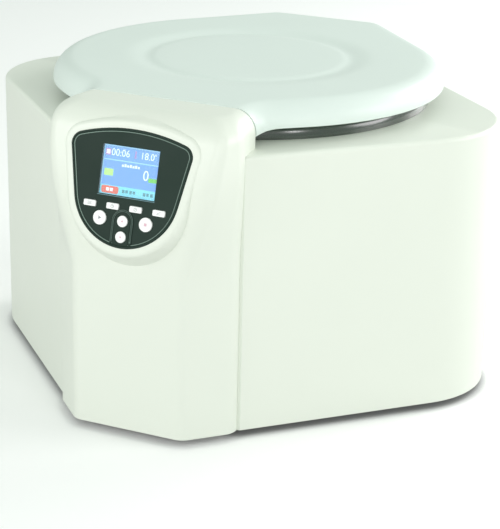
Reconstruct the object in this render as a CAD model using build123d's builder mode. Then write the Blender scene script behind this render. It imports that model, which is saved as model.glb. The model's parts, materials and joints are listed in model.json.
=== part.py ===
"""Benchtop swing-out centrifuge: a square housing turned 45 degrees to its front cover.

All sizes are in millimetres. X runs to the right, Y to the rear and Z up from the bench.
Plan sizes are measured from the rotor axis, which stands at (0, AXIS_Y).
"""
import math
import os

from build123d import *

os.makedirs("parts", exist_ok=True)

# ---------------------------------------------------------------- driving dimensions
AXIS_Y = 19.3             # rotor axis, behind the middle of the outer box
SLIP = 0.3                # gap beside a piece that only has to clear
RUNNING = 0.05            # radial clearance of a running fit

# housing
HOUSING_FLOOR = 8.0       # lower edge of the sides, above the bench
DECK_Z = 314.0
HOUSING_WALL = 3.0
FRONT_FACE_AT = 253.6     # rotor axis to each front side, square to it
REAR_FACE_AT = 234.1      # rotor axis to each rear side
SIDE_CORNER_R = 105.0
FRONT_FLAT_Y = -250.0     # cut corner that the front cover hides
REAR_FLAT_Y = 276.0       # cut corner that carries the mains inlet
REAR_CORNER_R = 38.0
DECK_EDGE_R = 5.0
DECK_HOLE_R = 192.0

# front cover
COVER_HALF_WIDTH = 105.0
COVER_TOP = 354.0
COVER_BACK_Y = -217.5     # rear wall above the deck, at the seam with the lid
COVER_WALL = 3.0
COLUMN_FRONT_Y = -302.3
COLUMN_TOP = 190.0        # below this height the cover is a plain column
COVER_TOP_R = 25.0        # roll of the top edge, round the front and both sides
COVER_ROLL_STEPS = 6
COVER_SIDE_R = 20.0       # plan radius between a side wall and its cheek
CHEEK_MITRE = 0.65        # how far a corner of the plan follows the wall inwards
SIDE_MITRE = 0.35
CORNER_PULL = 0.9         # how far the side corner follows the rolled edge back

# key panel, on a plane that leans back
PANEL_TILT = 15.43        # degrees from upright
PANEL_FOOT_Y = -320.6     # a point of the panel's face
PANEL_FOOT_Z = 212.0
BOSS_RISE = 2.5           # panel boss in front of the cover's leaning face
BOSS_GROW = 8.0           # boss outline around the key panel
BOSS_FOOT_GROW = 22.0     # the same at the depth where the boss ends inside the cover
BOSS_DEPTH = 30.0
BOSS_EDGE_R = 5.0
SHIELD_BOTTOM_R = 60.6
SHIELD_BOTTOM_V = 7.4     # heights on the panel are measured along its slope
SHIELD_SIDE_LEAN = 11.0   # degrees
SHIELD_SHOULDER_V = 117.3
SHIELD_TOP_V = 130.4
SHIELD_CORNER_R = 13.0
BEZEL_WIDTH = 3.0
BEZEL_RISE = 1.2
PLATE_THICK = 3.0
SCREEN_W = 64.8
SCREEN_H = 50.9
SCREEN_V = 86.3
KEY_PITCH = 26.5

# lid
LID_R = 225.0
LID_BOTTOM = 331.0
LID_EDGE_TOP = 353.5      # top of the rim before the dome
LID_DOME_TOP = 357.0
LID_FRONT_Y = -216.5
LID_NECK_BOTTOM = 326.0
LID_REAR_Y = 255.0
LID_REAR_HALF_WIDTH = 74.0
LID_SHOULDER_R = 20.0
LID_CAVITY_R = 190.0
LID_DISH_R = 117.5

# chamber
RING_OUTER_R = 210.0
RING_INNER_R = 197.0
RING_TOP = 328.0
BOWL_R = 190.0
BOWL_WALL = 1.5
BOWL_FLOOR_Z = 150.0
BOWL_CORNER_R = 25.0
BOOT_HOLE_R = 30.0
GUARD_R = 204.0
GUARD_WALL = 4.0

# rotor and drive
SHAFT_R = 8.0
PIVOT_RADIUS = 95.0
PIVOT_Z = 268.0
PRONG_INNER = 30.0
PRONG_THICK = 12.0
PRONG_END_R = 11.0
PIN_R = 4.0
BUCKET_R = 27.0
BUCKET_BORE_R = 24.0
BUCKET_TOP = 290.0
BUCKET_BOTTOM = 193.0
BUCKETS = 4
MOTOR_R = 60.0
MOTOR_BOTTOM = 25.0
MOTOR_TOP = 120.0
FLANGE_Z = 85.0
DAMPER_CIRCLE_R = 82.0

# hinge and latch
HINGE_Y = 264.0
HINGE_Z = 323.0
HINGE_X = 30.0
KNUCKLE_R = 6.5
HINGE_PIN_R = 2.5
LATCH_Z = 340.0
LATCH_BOLT_R = 5.0
LATCH_TRAVEL = 10.0

# housing details: base, feet, grilles
BASE_Z = 10.0
BASE_THICK = 3.0
BASE_VENT_X = 150.0
BASE_VENTS = 7
BASE_VENT_PITCH = 12.0
BASE_VENT_L = 70.0
BASE_VENT_W = 5.0
FOOT_PLACES = ((-225.0, -14.0), (225.0, -14.0), (0.0, -212.0), (0.0, 228.0))
FOOT_R = 20.0
FOOT_TAPER = 12.0         # degrees
FOOT_POCKET_R = 9.0
FOOT_SEAT = 4.0
FOOT_SCREW_R = 3.0
FOOT_SCREW_HEAD_R = 6.0
FOOT_SCREW_TAIL = 5.0
SCREW_HEAD_H = 2.4
DRIVER_SLOT = 1.4
GRILLE_Z = 90.0
GRILLE_W = 150.0
GRILLE_H = 86.0
GRILLE_R = 6.0
GRILLE_LIP = 7.0
GRILLE_LIP_THICK = 2.0
GRILLE_PITCH = 7.5
GRILLE_SLOTS = 8
GRILLE_SLOT_H = 3.2
CABLE_SLOT_Z = 250.0
CABLE_SLOT_W = 60.0
CABLE_SLOT_H = 24.0

# keys and what lies behind the panel
COVER_DEPTH = 150.0
PANEL_LEDGE = 3.6
PANEL_BAY_DEPTH = 45.0
KEY_GAP = 0.35
KEY_RISE = 1.6
KEY_EDGE_R = 0.5
KEY_FLANGE = 1.0
BAR_KEY_W = 14.0
BAR_KEY_H = 6.4
BAR_KEY_R = 1.4
LARGE_KEY_R = 7.4
SMALL_KEY_R = 5.9
BAR_KEY_V = 49.5
LARGE_KEY_V = 35.9
ARROW_UP_V = 35.5
ARROW_DOWN_V = 19.2
KEYS = (
    # node, kind, x, height on the panel
    ("menu_key", "bar", -1.5 * KEY_PITCH, BAR_KEY_V),
    ("time_key", "bar", -0.5 * KEY_PITCH, BAR_KEY_V),
    ("speed_key", "bar", 0.5 * KEY_PITCH, BAR_KEY_V),
    ("lid_key", "bar", 1.5 * KEY_PITCH, BAR_KEY_V),
    ("start_key", "large", -KEY_PITCH, LARGE_KEY_V),
    ("stop_key", "large", KEY_PITCH, LARGE_KEY_V),
    ("up_key", "small", 0.0, ARROW_UP_V),
    ("down_key", "small", 0.0, ARROW_DOWN_V),
)
ISLAND_HALF_WIDTH = 12.2
ISLAND_RISE = 0.8
ISLAND_RIM = 2.6
ISLAND_GROOVE = 0.8
WINDOW_THICK = 2.0
MODULE_BORDER = 5.0
MODULE_BACK = 9.0
BOARD_DEPTH = 14.0
BOARD_THICK = 1.6
BOARD_EDGE_GAP = 4.0
BOARD_HOLE_R = 1.8
BOARD_HOLES = ((-52.0, 100.0), (52.0, 100.0), (-40.0, 36.0), (40.0, 36.0))
SWITCH_BODY = 6.0
SWITCH_BODY_H = 3.5
SWITCH_STEM_R = 1.7
SWITCH_STEM_TOP = 5.8     # depth of a switch's stem behind the panel's face

# chamber and drive details
BOWL_LIP_R = 204.0
RING_EDGE_R = 1.5
GUARD_BOTTOM = 185.0
BOOT_LIP = 3.0
BOOT_WALL = 2.0
BOOT_TOP_R = 13.0
BOOT_TOP = 176.0
BOOT_FOLDS = ((30.0, 156.0), (24.0, 160.0), (28.0, 164.0), (20.0, 168.0), (23.0, 172.0))
MOTOR_WALL = 4.0
MOTOR_SHAFT_HOLE_R = 11.0
FLANGE_R = 98.0
FLANGE_THICK = 6.0
FINS = 12
FIN_RISE = 4.0
FIN_THICK = 2.4
FIN_START = 4.0
FIN_HEIGHT = 50.0
BEARING_R = 17.5
BEARING_H = 10.0
BEARING_GROOVE = 1.5
END_CAP_H = 12.0
STATOR_BOTTOM = 45.0
STATOR_H = 60.0
STATOR_BORE_R = 36.0
STATOR_SLOTS = 12
STATOR_SLOT_L = 16.0
STATOR_SLOT_W = 5.0
AIR_GAP = 0.6
DAMPERS = 4
DAMPER_START = 45.0       # degrees
DAMPER_R = 15.0
DAMPER_STUD_R = 4.0
POST_R = 11.0
POST_TOP = 58.0
IMBALANCE_X = -80.0
IMBALANCE_W = 14.0
SHAFT_BOTTOM = 28.0
SHAFT_STEP_Z = 136.0
SHAFT_SEAT_R = 10.0
SHAFT_TIP_R = 6.0
SHAFT_TOP = 276.0
CONE_BOTTOM = 228.0
CONE_TOP = 262.0
HUB_R = 22.0
WEB_R = 54.0
WEB_BOTTOM = 244.0
WEB_TOP = 257.0
NUT_R = 17.0
NUT_GRIPS = 8
NUT_GRIP_R = 3.0
NUT_H = 18.0
NUT_CAP_H = 5.0
PIN_INNER = 25.0
BUCKET_FOOT_R = 10.0
BUCKET_FLOOR = 3.0
BUCKET_EAR = 29.4
BUCKET_EAR_R = 8.0
SLEEVE_R = 23.7
SLEEVE_BORE_R = 18.0
SLEEVE_H = 62.0
SLEEVE_FLOOR = 4.0
SLEEVE_LEAD_IN = 1.5

# lid, hinge and lock details
LID_REAR_CORNER_R = 34.0
LID_NECK_R = 26.0
LID_DISH_DEPTH = 1.8
LID_DISH_BEVEL = 3.0
LID_SHOULDER_MID = 355.9
LID_CAVITY_H = 17.0
NECK_LIP = 12.0
SEAL_INNER_R = 196.5
SEAL_OUTER_R = 209.0
SEAL_GROOVE = 3.0
PANEL_STEP_R = 178.0
STRIKER_W = 34.0
STRIKER_H = 18.0
STRIKER_THICK = 1.6
LEAF_KNUCKLE = 18.0
OUTER_KNUCKLE = 9.0
LEAF_THICK = 2.5
LEAF_FRONT_Y = 226.0
BRACKET_DEPTH = 46.0
BRACKET_THICK = 2.2
HINGE_SCREW_Y = 238.0
HINGE_SCREW_PITCH = 22.0
HINGE_SCREW_R = 2.0
SOLENOID_Y = -236.0
SOLENOID_W = 26.0
SOLENOID_H = 18.0
SOLENOID_L = 26.0
LATCH_SETBACK = 1.5
LATCH_BOLT_L = 40.0

# mains side
INLET_Z = 60.0
INLET_W = 30.0
INLET_H = 22.0
INLET_LIP = 8.0
INLET_LIP_THICK = 2.0
INLET_DEPTH = 24.0
SOCKET_W = 24.0
SOCKET_H = 16.5
SOCKET_CHAMFER = 4.0
SOCKET_DEPTH = 18.0
PIN_RISE = 2.0
PIN_PITCH = 7.0
BLADE_W = 2.0
BLADE_H = 4.0
BLADE_L = 14.0
SWITCH_Z = 104.0
SWITCH_W = 22.0
SWITCH_H = 30.0
SWITCH_LIP = 2.0
SWITCH_LIP_THICK = 2.0
SWITCH_DEPTH = 20.0
ROCKER_PIVOT_DEPTH = 8.0
ROCKER_RISE = 2.2
ROCKER_DISH = 1.6
ROCKER_RELIEF = 1.5
ROCKER_SWING = 6.0        # degrees to each side of the middle
DRIVE_BOARD_X = 0.0
DRIVE_BOARD_Y = 190.0
DRIVE_BOARD_W = 120.0
DRIVE_BOARD_L = 60.0
BOARD_STANDOFF = 6.0
CAPACITOR_R = 8.0
CAPACITOR_H = 30.0

# ---------------------------------------------------------------- planes and outlines
ROTOR_AXIS = Axis((0, AXIS_Y, 0), (0, 0, 1))
SECTION = Plane(origin=(0, AXIS_Y, 0), x_dir=(1, 0, 0), z_dir=(0, -1, 0))
TILT = math.radians(PANEL_TILT)
PANEL_OUT = Vector(0, -math.cos(TILT), math.sin(TILT))


def level(height):
    """Horizontal plane at a height, centred on the rotor axis."""
    return Plane((0, AXIS_Y, height))


def facing_front(y):
    """Upright plane seen from the front; y is measured from the rotor axis."""
    return Plane(origin=(0, AXIS_Y + y, 0), x_dir=(1, 0, 0), z_dir=(0, -1, 0))


def on_panel(rise=0.0):
    """Plane parallel to the key panel, with its second axis up the slope."""
    foot = Vector(0, AXIS_Y + PANEL_FOOT_Y, PANEL_FOOT_Z)
    return Plane(origin=foot + PANEL_OUT * rise, x_dir=(1, 0, 0), z_dir=PANEL_OUT)


def side_view(x):
    """Upright plane seen from the right, with Y across and Z up."""
    return Plane(origin=(x, AXIS_Y, 0), x_dir=(0, 1, 0), z_dir=(1, 0, 0))


def housing_outline(inset=0.0):
    """Square turned 45 degrees, with its front and rear corners cut flat."""
    corner_x = (FRONT_FACE_AT + REAR_FACE_AT) / math.sqrt(2)
    corner_y = (REAR_FACE_AT - FRONT_FACE_AT) / math.sqrt(2)
    front_x = FRONT_FACE_AT * math.sqrt(2) + FRONT_FLAT_Y
    rear_x = REAR_FACE_AT * math.sqrt(2) - REAR_FLAT_Y
    with BuildSketch() as outline:
        Polygon(
            (-front_x, FRONT_FLAT_Y), (front_x, FRONT_FLAT_Y), (corner_x, corner_y),
            (rear_x, REAR_FLAT_Y), (-rear_x, REAR_FLAT_Y), (-corner_x, corner_y), align=None)
        corners = outline.vertices()
        fillet([v for v in corners if abs(v.X) > front_x * 2], SIDE_CORNER_R)
        fillet([v for v in corners if v.Y > REAR_FLAT_Y - 1], REAR_CORNER_R)
        if inset:
            offset(amount=-inset)
    return outline.sketch


def shield_outline(grow=0.0):
    """Panel outline: round bottom, sides that lean out and a flat arched top."""
    centre_v = SHIELD_BOTTOM_V + SHIELD_BOTTOM_R
    lean = math.radians(SHIELD_SIDE_LEAN)
    side_x = SHIELD_BOTTOM_R * math.cos(lean)
    side_v = centre_v - SHIELD_BOTTOM_R * math.sin(lean)
    shoulder_x = side_x + (SHIELD_SHOULDER_V - side_v) * math.tan(lean)
    with BuildSketch() as outline:
        with BuildLine():
            ThreePointArc((-side_x, side_v), (0, SHIELD_BOTTOM_V), (side_x, side_v))
            Line((side_x, side_v), (shoulder_x, SHIELD_SHOULDER_V))
            ThreePointArc((shoulder_x, SHIELD_SHOULDER_V), (0, SHIELD_TOP_V),
                          (-shoulder_x, SHIELD_SHOULDER_V))
            Line((-shoulder_x, SHIELD_SHOULDER_V), (-side_x, side_v))
        make_face()
        fillet([v for v in outline.vertices() if v.Y > SHIELD_SHOULDER_V - 1], SHIELD_CORNER_R)
        if grow:
            offset(amount=grow)
    return outline.sketch


def panel_y(height, rise=0.0):
    """Y of the panel plane at a height, for a plane that stands out by rise."""
    return PANEL_FOOT_Y + (height - PANEL_FOOT_Z) * math.tan(TILT) - rise / math.cos(TILT)


def cover_section(front_y, side_x, side_y, cheek_x, edge_r, inset, roll=0.0):
    """Plan of the front cover: flat front, a cheek at each side and flared side walls."""
    half = COVER_HALF_WIDTH - inset - roll
    side = side_x - inset - roll
    cheek = cheek_x - inset * CHEEK_MITRE - roll
    face_y = front_y + inset + roll
    corner_y = side_y + inset * SIDE_MITRE + roll * CORNER_PULL
    back_y = COVER_BACK_Y - inset
    with BuildSketch() as section:
        Polygon(
            (half, back_y), (side, corner_y), (cheek, face_y),
            (-cheek, face_y), (-side, corner_y), (-half, back_y), align=None)
        fillet([v for v in section.vertices() if v.Y < face_y + 1], edge_r)
        fillet([v for v in section.vertices() if abs(v.Y - corner_y) < SLIP], COVER_SIDE_R)
    return section.sketch


def save(piece, name):
    """Label a finished piece and write its STEP file."""
    piece.label = name
    export_step(piece, f"parts/{name}.step")


# ---------------------------------------------------------------- housing and base
def on_rear_side(side, out=0.0):
    """Upright plane on a rear face of the housing: side is 1 at the right, -1 at the left."""
    reach = (REAR_FACE_AT + out) / math.sqrt(2)
    outward = Vector(side, 1, 0).normalized()
    across = Vector(-side, 1, 0).normalized() * side
    return Plane(origin=(side * reach, AXIS_Y + reach, 0), x_dir=across, z_dir=outward)


def on_rear_flat(out=0.0):
    """Upright plane on the rear flat of the housing, seen from behind."""
    return Plane(origin=(0, AXIS_Y + REAR_FLAT_Y + out, 0), x_dir=(-1, 0, 0), z_dir=(0, 1, 0))


with BuildPart() as housing:
    with BuildSketch(level(HOUSING_FLOOR)):
        add(housing_outline())
    extrude(amount=DECK_Z - HOUSING_FLOOR)
    fillet(housing.faces().sort_by(Axis.Z)[-1].edges(), DECK_EDGE_R)
    with BuildSketch(level(HOUSING_FLOOR)):
        add(housing_outline(HOUSING_WALL))
    extrude(amount=DECK_Z - HOUSING_WALL - HOUSING_FLOOR, mode=Mode.SUBTRACT)
    with BuildSketch(level(DECK_Z)):
        Circle(DECK_HOLE_R)
    extrude(amount=-HOUSING_WALL * 2, mode=Mode.SUBTRACT)
    for side in (-1, 1):
        with BuildSketch(on_rear_side(side)):
            with Locations((0, GRILLE_Z)):
                RectangleRounded(GRILLE_W - 2 * GRILLE_LIP, GRILLE_H - 2 * GRILLE_LIP, GRILLE_R)
        extrude(amount=-HOUSING_WALL * 2, mode=Mode.SUBTRACT)
    with BuildSketch(on_rear_flat()):
        with Locations((0, INLET_Z)):
            Rectangle(INLET_W + SLIP, INLET_H + SLIP)
        with Locations((0, SWITCH_Z)):
            Rectangle(SWITCH_W + SLIP, SWITCH_H + SLIP)
    extrude(amount=-HOUSING_WALL * 2, mode=Mode.SUBTRACT)
    with BuildSketch(facing_front(FRONT_FLAT_Y)):
        with Locations((0, CABLE_SLOT_Z)):
            SlotOverall(CABLE_SLOT_W, CABLE_SLOT_H)
    extrude(amount=-HOUSING_WALL * 2, mode=Mode.SUBTRACT)
save(housing.part, "housing")

with BuildPart() as rear_grilles:
    for side in (-1, 1):
        with BuildSketch(on_rear_side(side)):
            with Locations((0, GRILLE_Z)):
                RectangleRounded(GRILLE_W, GRILLE_H, GRILLE_R)
        extrude(amount=GRILLE_LIP_THICK)
        with BuildSketch(on_rear_side(side)):
            with Locations((0, GRILLE_Z)):
                RectangleRounded(GRILLE_W - 2 * GRILLE_LIP - SLIP, GRILLE_H - 2 * GRILLE_LIP - SLIP,
                                 GRILLE_R)
        extrude(amount=-HOUSING_WALL)
        with BuildSketch(on_rear_side(side, GRILLE_LIP_THICK)):
            with Locations((0, GRILLE_Z)):
                with GridLocations(0, GRILLE_PITCH, 1, GRILLE_SLOTS):
                    SlotOverall(GRILLE_W - 4 * GRILLE_LIP, GRILLE_SLOT_H)
        extrude(amount=-(GRILLE_LIP_THICK + HOUSING_WALL), mode=Mode.SUBTRACT)
save(rear_grilles.part, "rear_grilles")

with BuildPart() as base_plate:
    with BuildSketch(level(BASE_Z)):
        add(housing_outline(HOUSING_WALL + SLIP))
        Circle(MOTOR_R * 0.5, mode=Mode.SUBTRACT)
        for side in (-1, 1):
            with Locations((side * BASE_VENT_X, 0)):
                with GridLocations(0, BASE_VENT_PITCH, 1, BASE_VENTS):
                    SlotOverall(BASE_VENT_L, BASE_VENT_W, mode=Mode.SUBTRACT)
        with Locations(*FOOT_PLACES):
            Circle(FOOT_SCREW_R + SLIP, mode=Mode.SUBTRACT)
    extrude(amount=BASE_THICK)
save(base_plate.part, "base_plate")

with BuildPart() as rubber_feet:
    for x, y in FOOT_PLACES:
        with BuildSketch(Plane((x, AXIS_Y + y, 0))):
            Circle(FOOT_R)
        extrude(amount=BASE_Z, taper=FOOT_TAPER)
        with BuildSketch(Plane((x, AXIS_Y + y, 0))):
            Circle(FOOT_POCKET_R)
        extrude(amount=BASE_Z - FOOT_SEAT, mode=Mode.SUBTRACT)
        with BuildSketch(Plane((x, AXIS_Y + y, 0))):
            Circle(FOOT_SCREW_R + RUNNING)
        extrude(amount=BASE_Z, mode=Mode.SUBTRACT)
save(rubber_feet.part, "rubber_feet")

with BuildPart() as foot_screws:
    for x, y in FOOT_PLACES:
        with BuildSketch(Plane((x, AXIS_Y + y, BASE_Z - FOOT_SEAT - SCREW_HEAD_H))):
            Circle(FOOT_SCREW_HEAD_R)
        extrude(amount=SCREW_HEAD_H)
        with BuildSketch(Plane((x, AXIS_Y + y, BASE_Z - FOOT_SEAT))):
            Circle(FOOT_SCREW_R)
        extrude(amount=FOOT_SEAT + BASE_THICK + FOOT_SCREW_TAIL)
        with BuildSketch(Plane((x, AXIS_Y + y, BASE_Z - FOOT_SEAT - SCREW_HEAD_H))):
            Rectangle(FOOT_SCREW_HEAD_R, DRIVER_SLOT)
            Rectangle(DRIVER_SLOT, FOOT_SCREW_HEAD_R)
        extrude(amount=DRIVER_SLOT, mode=Mode.SUBTRACT)
save(foot_screws.part, "foot_screws")

# ---------------------------------------------------------------- front cover
COVER_ROLL_Z = COVER_TOP - COVER_TOP_R
# height, x and y where the side wall meets the cheek, x where the cheek meets the front, edge radius
COVER_SECTIONS = (
    (COLUMN_TOP, COVER_HALF_WIDTH, -261.0, 64.0, 18.0),
    (236.0, 106.5, -261.5, 78.0, 26.0),
    (283.0, 109.0, -261.5, 92.5, 21.0),
    (COVER_ROLL_Z, 109.5, -261.5, 98.5, 14.0),
)


def cover_form(inset=0.0):
    """Outside of the front cover, or its hollow when inset by the wall."""
    with BuildPart() as form:
        height, *plan = COVER_SECTIONS[0]
        with BuildSketch(level(HOUSING_FLOOR - inset)):
            add(cover_section(COLUMN_FRONT_Y, *plan, inset))
        extrude(amount=COLUMN_TOP - HOUSING_FLOOR + inset)
        for height, *plan in COVER_SECTIONS:
            with BuildSketch(level(height)):
                add(cover_section(max(COLUMN_FRONT_Y, panel_y(height, -BOSS_RISE)), *plan, inset))
        loft()
        for step in range(COVER_ROLL_STEPS + 1):
            angle = math.radians(90 * step / COVER_ROLL_STEPS)
            height = COVER_ROLL_Z + (COVER_TOP_R - inset) * math.sin(angle)
            roll = (COVER_TOP_R - inset) * (1 - math.cos(angle))
            with BuildSketch(level(height)):
                add(cover_section(panel_y(height, -BOSS_RISE), *plan, inset, roll))
        loft()
        with BuildSketch(level(-inset)):
            with Locations((0, FRONT_FLAT_Y + inset)):
                Rectangle(3 * COVER_HALF_WIDTH, COVER_DEPTH, align=(Align.CENTER, Align.MIN))
        extrude(amount=DECK_Z + inset, mode=Mode.SUBTRACT)
    return form.part


with BuildPart() as panel_boss:
    with BuildSketch(on_panel()):
        add(shield_outline(BOSS_GROW))
    with BuildSketch(on_panel(-BOSS_DEPTH)):
        add(shield_outline(BOSS_FOOT_GROW))
    loft(ruled=True)
    fillet(panel_boss.faces().sort_by(Axis((0, 0, 0), tuple(PANEL_OUT)))[-1].edges(), BOSS_EDGE_R)

with BuildPart() as front_cover:
    add(cover_form())
    add(panel_boss.part)
    add(cover_form(COVER_WALL), mode=Mode.SUBTRACT)
    with BuildSketch(on_panel(BEZEL_RISE)):
        add(shield_outline(RUNNING))
    extrude(amount=-(BEZEL_RISE + PLATE_THICK), mode=Mode.SUBTRACT)
    with BuildSketch(on_panel()):
        add(shield_outline(-PANEL_LEDGE))
    extrude(amount=-PANEL_BAY_DEPTH, mode=Mode.SUBTRACT)
    with BuildSketch(facing_front(COVER_BACK_Y)):
        with Locations((0, LATCH_Z)):
            Circle(LATCH_BOLT_R + SLIP)
    extrude(amount=COVER_WALL * 2, mode=Mode.SUBTRACT)
save(front_cover.part, "front_cover")

with BuildPart() as panel_bezel:
    with BuildSketch(on_panel(-PLATE_THICK)):
        add(shield_outline())
        add(shield_outline(-BEZEL_WIDTH), mode=Mode.SUBTRACT)
    extrude(amount=PLATE_THICK + BEZEL_RISE)
    chamfer(panel_bezel.faces().sort_by(Axis((0, 0, 0), tuple(PANEL_OUT)))[-1].edges(),
            BEZEL_RISE * 0.8)
save(panel_bezel.part, "panel_bezel")


def arrow_island(grow=0.0):
    """Inverted U around the two arrow keys, cut by the round bottom of the panel."""
    with BuildSketch() as outline:
        with Locations((0, ARROW_UP_V)):
            Circle(ISLAND_HALF_WIDTH + grow)
            Rectangle(2 * (ISLAND_HALF_WIDTH + grow), ARROW_UP_V, align=(Align.CENTER, Align.MAX))
        add(shield_outline(-BEZEL_WIDTH - RUNNING), mode=Mode.INTERSECT)
    return outline.sketch


def key_outline(kind, grow=0.0):
    """Face of a key: a small rounded rectangle or a disc."""
    with BuildSketch() as outline:
        if kind == "bar":
            RectangleRounded(BAR_KEY_W + 2 * grow, BAR_KEY_H + 2 * grow, BAR_KEY_R + grow)
        else:
            Circle((LARGE_KEY_R if kind == "large" else SMALL_KEY_R) + grow)
    return outline.sketch


with BuildPart() as panel_plate:
    with BuildSketch(on_panel(-PLATE_THICK)):
        add(shield_outline(-BEZEL_WIDTH))
        with Locations((0, SCREEN_V)):
            Rectangle(SCREEN_W, SCREEN_H, mode=Mode.SUBTRACT)
        for name, kind, x, v in KEYS:
            with Locations((x, v)):
                add(key_outline(kind, KEY_GAP), mode=Mode.SUBTRACT)
    extrude(amount=PLATE_THICK)
save(panel_plate.part, "panel_plate")

with BuildPart() as arrow_key_surround:
    with BuildSketch(on_panel()):
        add(arrow_island())
        for name, kind, x, v in KEYS:
            if kind == "small":
                with Locations((x, v)):
                    add(key_outline(kind, KEY_GAP), mode=Mode.SUBTRACT)
    extrude(amount=ISLAND_RISE)
    with BuildSketch(on_panel(ISLAND_RISE)):
        add(arrow_island(-ISLAND_RIM))
        add(arrow_island(-ISLAND_RIM - ISLAND_GROOVE), mode=Mode.SUBTRACT)
    extrude(amount=-ISLAND_GROOVE / 2, mode=Mode.SUBTRACT)
save(arrow_key_surround.part, "arrow_key_surround")

for name, kind, x, v in KEYS:
    with BuildPart() as key:
        with BuildSketch(on_panel(-PLATE_THICK - SLIP)):
            with Locations((x, v)):
                add(key_outline(kind))
        extrude(amount=PLATE_THICK + SLIP + KEY_RISE)
        fillet(key.faces().sort_by(Axis((0, 0, 0), tuple(PANEL_OUT)))[-1].edges(), KEY_EDGE_R)
        with BuildSketch(on_panel(-PLATE_THICK - SLIP)):
            with Locations((x, v)):
                add(key_outline(kind, KEY_FLANGE))
        extrude(amount=-KEY_FLANGE)
    save(key.part, name)

with BuildPart() as key_switches:
    with BuildSketch(on_panel(-BOARD_DEPTH)):
        for name, kind, x, v in KEYS:
            with Locations((x, v)):
                Rectangle(SWITCH_BODY, SWITCH_BODY)
    extrude(amount=SWITCH_BODY_H)
    with BuildSketch(on_panel(-BOARD_DEPTH + SWITCH_BODY_H)):
        for name, kind, x, v in KEYS:
            with Locations((x, v)):
                Circle(SWITCH_STEM_R)
    extrude(amount=BOARD_DEPTH - SWITCH_BODY_H - SWITCH_STEM_TOP)
save(key_switches.part, "key_switches")

with BuildPart() as display_window:
    with BuildSketch(on_panel(-WINDOW_THICK)):
        with Locations((0, SCREEN_V)):
            Rectangle(SCREEN_W - 2 * RUNNING, SCREEN_H - 2 * RUNNING)
    extrude(amount=WINDOW_THICK)
save(display_window.part, "display_window")

with BuildPart() as display_module:
    with BuildSketch(on_panel(-MODULE_BACK)):
        with Locations((0, SCREEN_V)):
            RectangleRounded(SCREEN_W + 2 * MODULE_BORDER, SCREEN_H + 2 * MODULE_BORDER,
                             MODULE_BORDER / 2)
    extrude(amount=MODULE_BACK - PLATE_THICK)
save(display_module.part, "display_module")

with BuildPart() as control_board:
    with BuildSketch(on_panel(-BOARD_DEPTH - BOARD_THICK)):
        add(shield_outline(-PANEL_LEDGE - BOARD_EDGE_GAP))
        with Locations(*BOARD_HOLES):
            Circle(BOARD_HOLE_R, mode=Mode.SUBTRACT)
    extrude(amount=BOARD_THICK)
save(control_board.part, "control_board")

# ---------------------------------------------------------------- chamber
with BuildPart() as chamber_bowl:
    with BuildSketch(SECTION):
        with BuildLine():
            Polyline((BOOT_HOLE_R, BOWL_FLOOR_Z), (BOWL_R - BOWL_CORNER_R, BOWL_FLOOR_Z))
            TangentArc((BOWL_R - BOWL_CORNER_R, BOWL_FLOOR_Z), (BOWL_R, BOWL_FLOOR_Z + BOWL_CORNER_R),
                       tangent=(1, 0))
            Polyline((BOWL_R, BOWL_FLOOR_Z + BOWL_CORNER_R), (BOWL_R, DECK_Z),
                     (BOWL_LIP_R, DECK_Z), (BOWL_LIP_R, DECK_Z + BOWL_WALL),
                     (BOWL_R - BOWL_WALL, DECK_Z + BOWL_WALL),
                     (BOWL_R - BOWL_WALL, BOWL_FLOOR_Z + BOWL_CORNER_R))
            inner_r = BOWL_CORNER_R - BOWL_WALL
            TangentArc((BOWL_R - BOWL_WALL, BOWL_FLOOR_Z + BOWL_CORNER_R),
                       (BOWL_R - BOWL_WALL - inner_r, BOWL_FLOOR_Z + BOWL_WALL), tangent=(0, -1))
            Polyline((BOWL_R - BOWL_WALL - inner_r, BOWL_FLOOR_Z + BOWL_WALL),
                     (BOOT_HOLE_R, BOWL_FLOOR_Z + BOWL_WALL), (BOOT_HOLE_R, BOWL_FLOOR_Z))
        make_face()
    revolve(axis=ROTOR_AXIS)
save(chamber_bowl.part, "chamber_bowl")

with BuildPart() as chamber_ring:
    with BuildSketch(SECTION):
        Polygon((RING_INNER_R, DECK_Z + BOWL_WALL), (BOWL_LIP_R + RUNNING, DECK_Z + BOWL_WALL),
                (BOWL_LIP_R + RUNNING, DECK_Z), (RING_OUTER_R, DECK_Z),
                (RING_OUTER_R, RING_TOP), (RING_INNER_R, RING_TOP), align=None)
        fillet(vertices().group_by(Axis.Y)[-1], RING_EDGE_R)
    revolve(axis=ROTOR_AXIS)
save(chamber_ring.part, "chamber_ring")

with BuildPart() as guard_ring:
    with BuildSketch(level(GUARD_BOTTOM)):
        Circle(GUARD_R)
        Circle(GUARD_R - GUARD_WALL, mode=Mode.SUBTRACT)
    extrude(amount=DECK_Z - HOUSING_WALL - GUARD_BOTTOM)
save(guard_ring.part, "guard_ring")

with BuildPart() as shaft_boot:
    with BuildSketch(SECTION):
        with BuildLine():
            Polyline((BOOT_HOLE_R + BOOT_LIP, BOWL_FLOOR_Z + BOWL_WALL), *BOOT_FOLDS,
                     (BOOT_TOP_R, BOOT_TOP), (BOOT_TOP_R, BOOT_TOP - BOOT_WALL),
                     *[(r - BOOT_WALL, z - BOOT_WALL / 2) for r, z in reversed(BOOT_FOLDS)],
                     (BOOT_HOLE_R - BOOT_WALL, BOWL_FLOOR_Z - BOOT_LIP),
                     (BOOT_HOLE_R - RUNNING, BOWL_FLOOR_Z - BOOT_LIP),
                     (BOOT_HOLE_R - RUNNING, BOWL_FLOOR_Z + BOWL_WALL), close=True)
        make_face()
    revolve(axis=ROTOR_AXIS)
save(shaft_boot.part, "shaft_boot")

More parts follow.
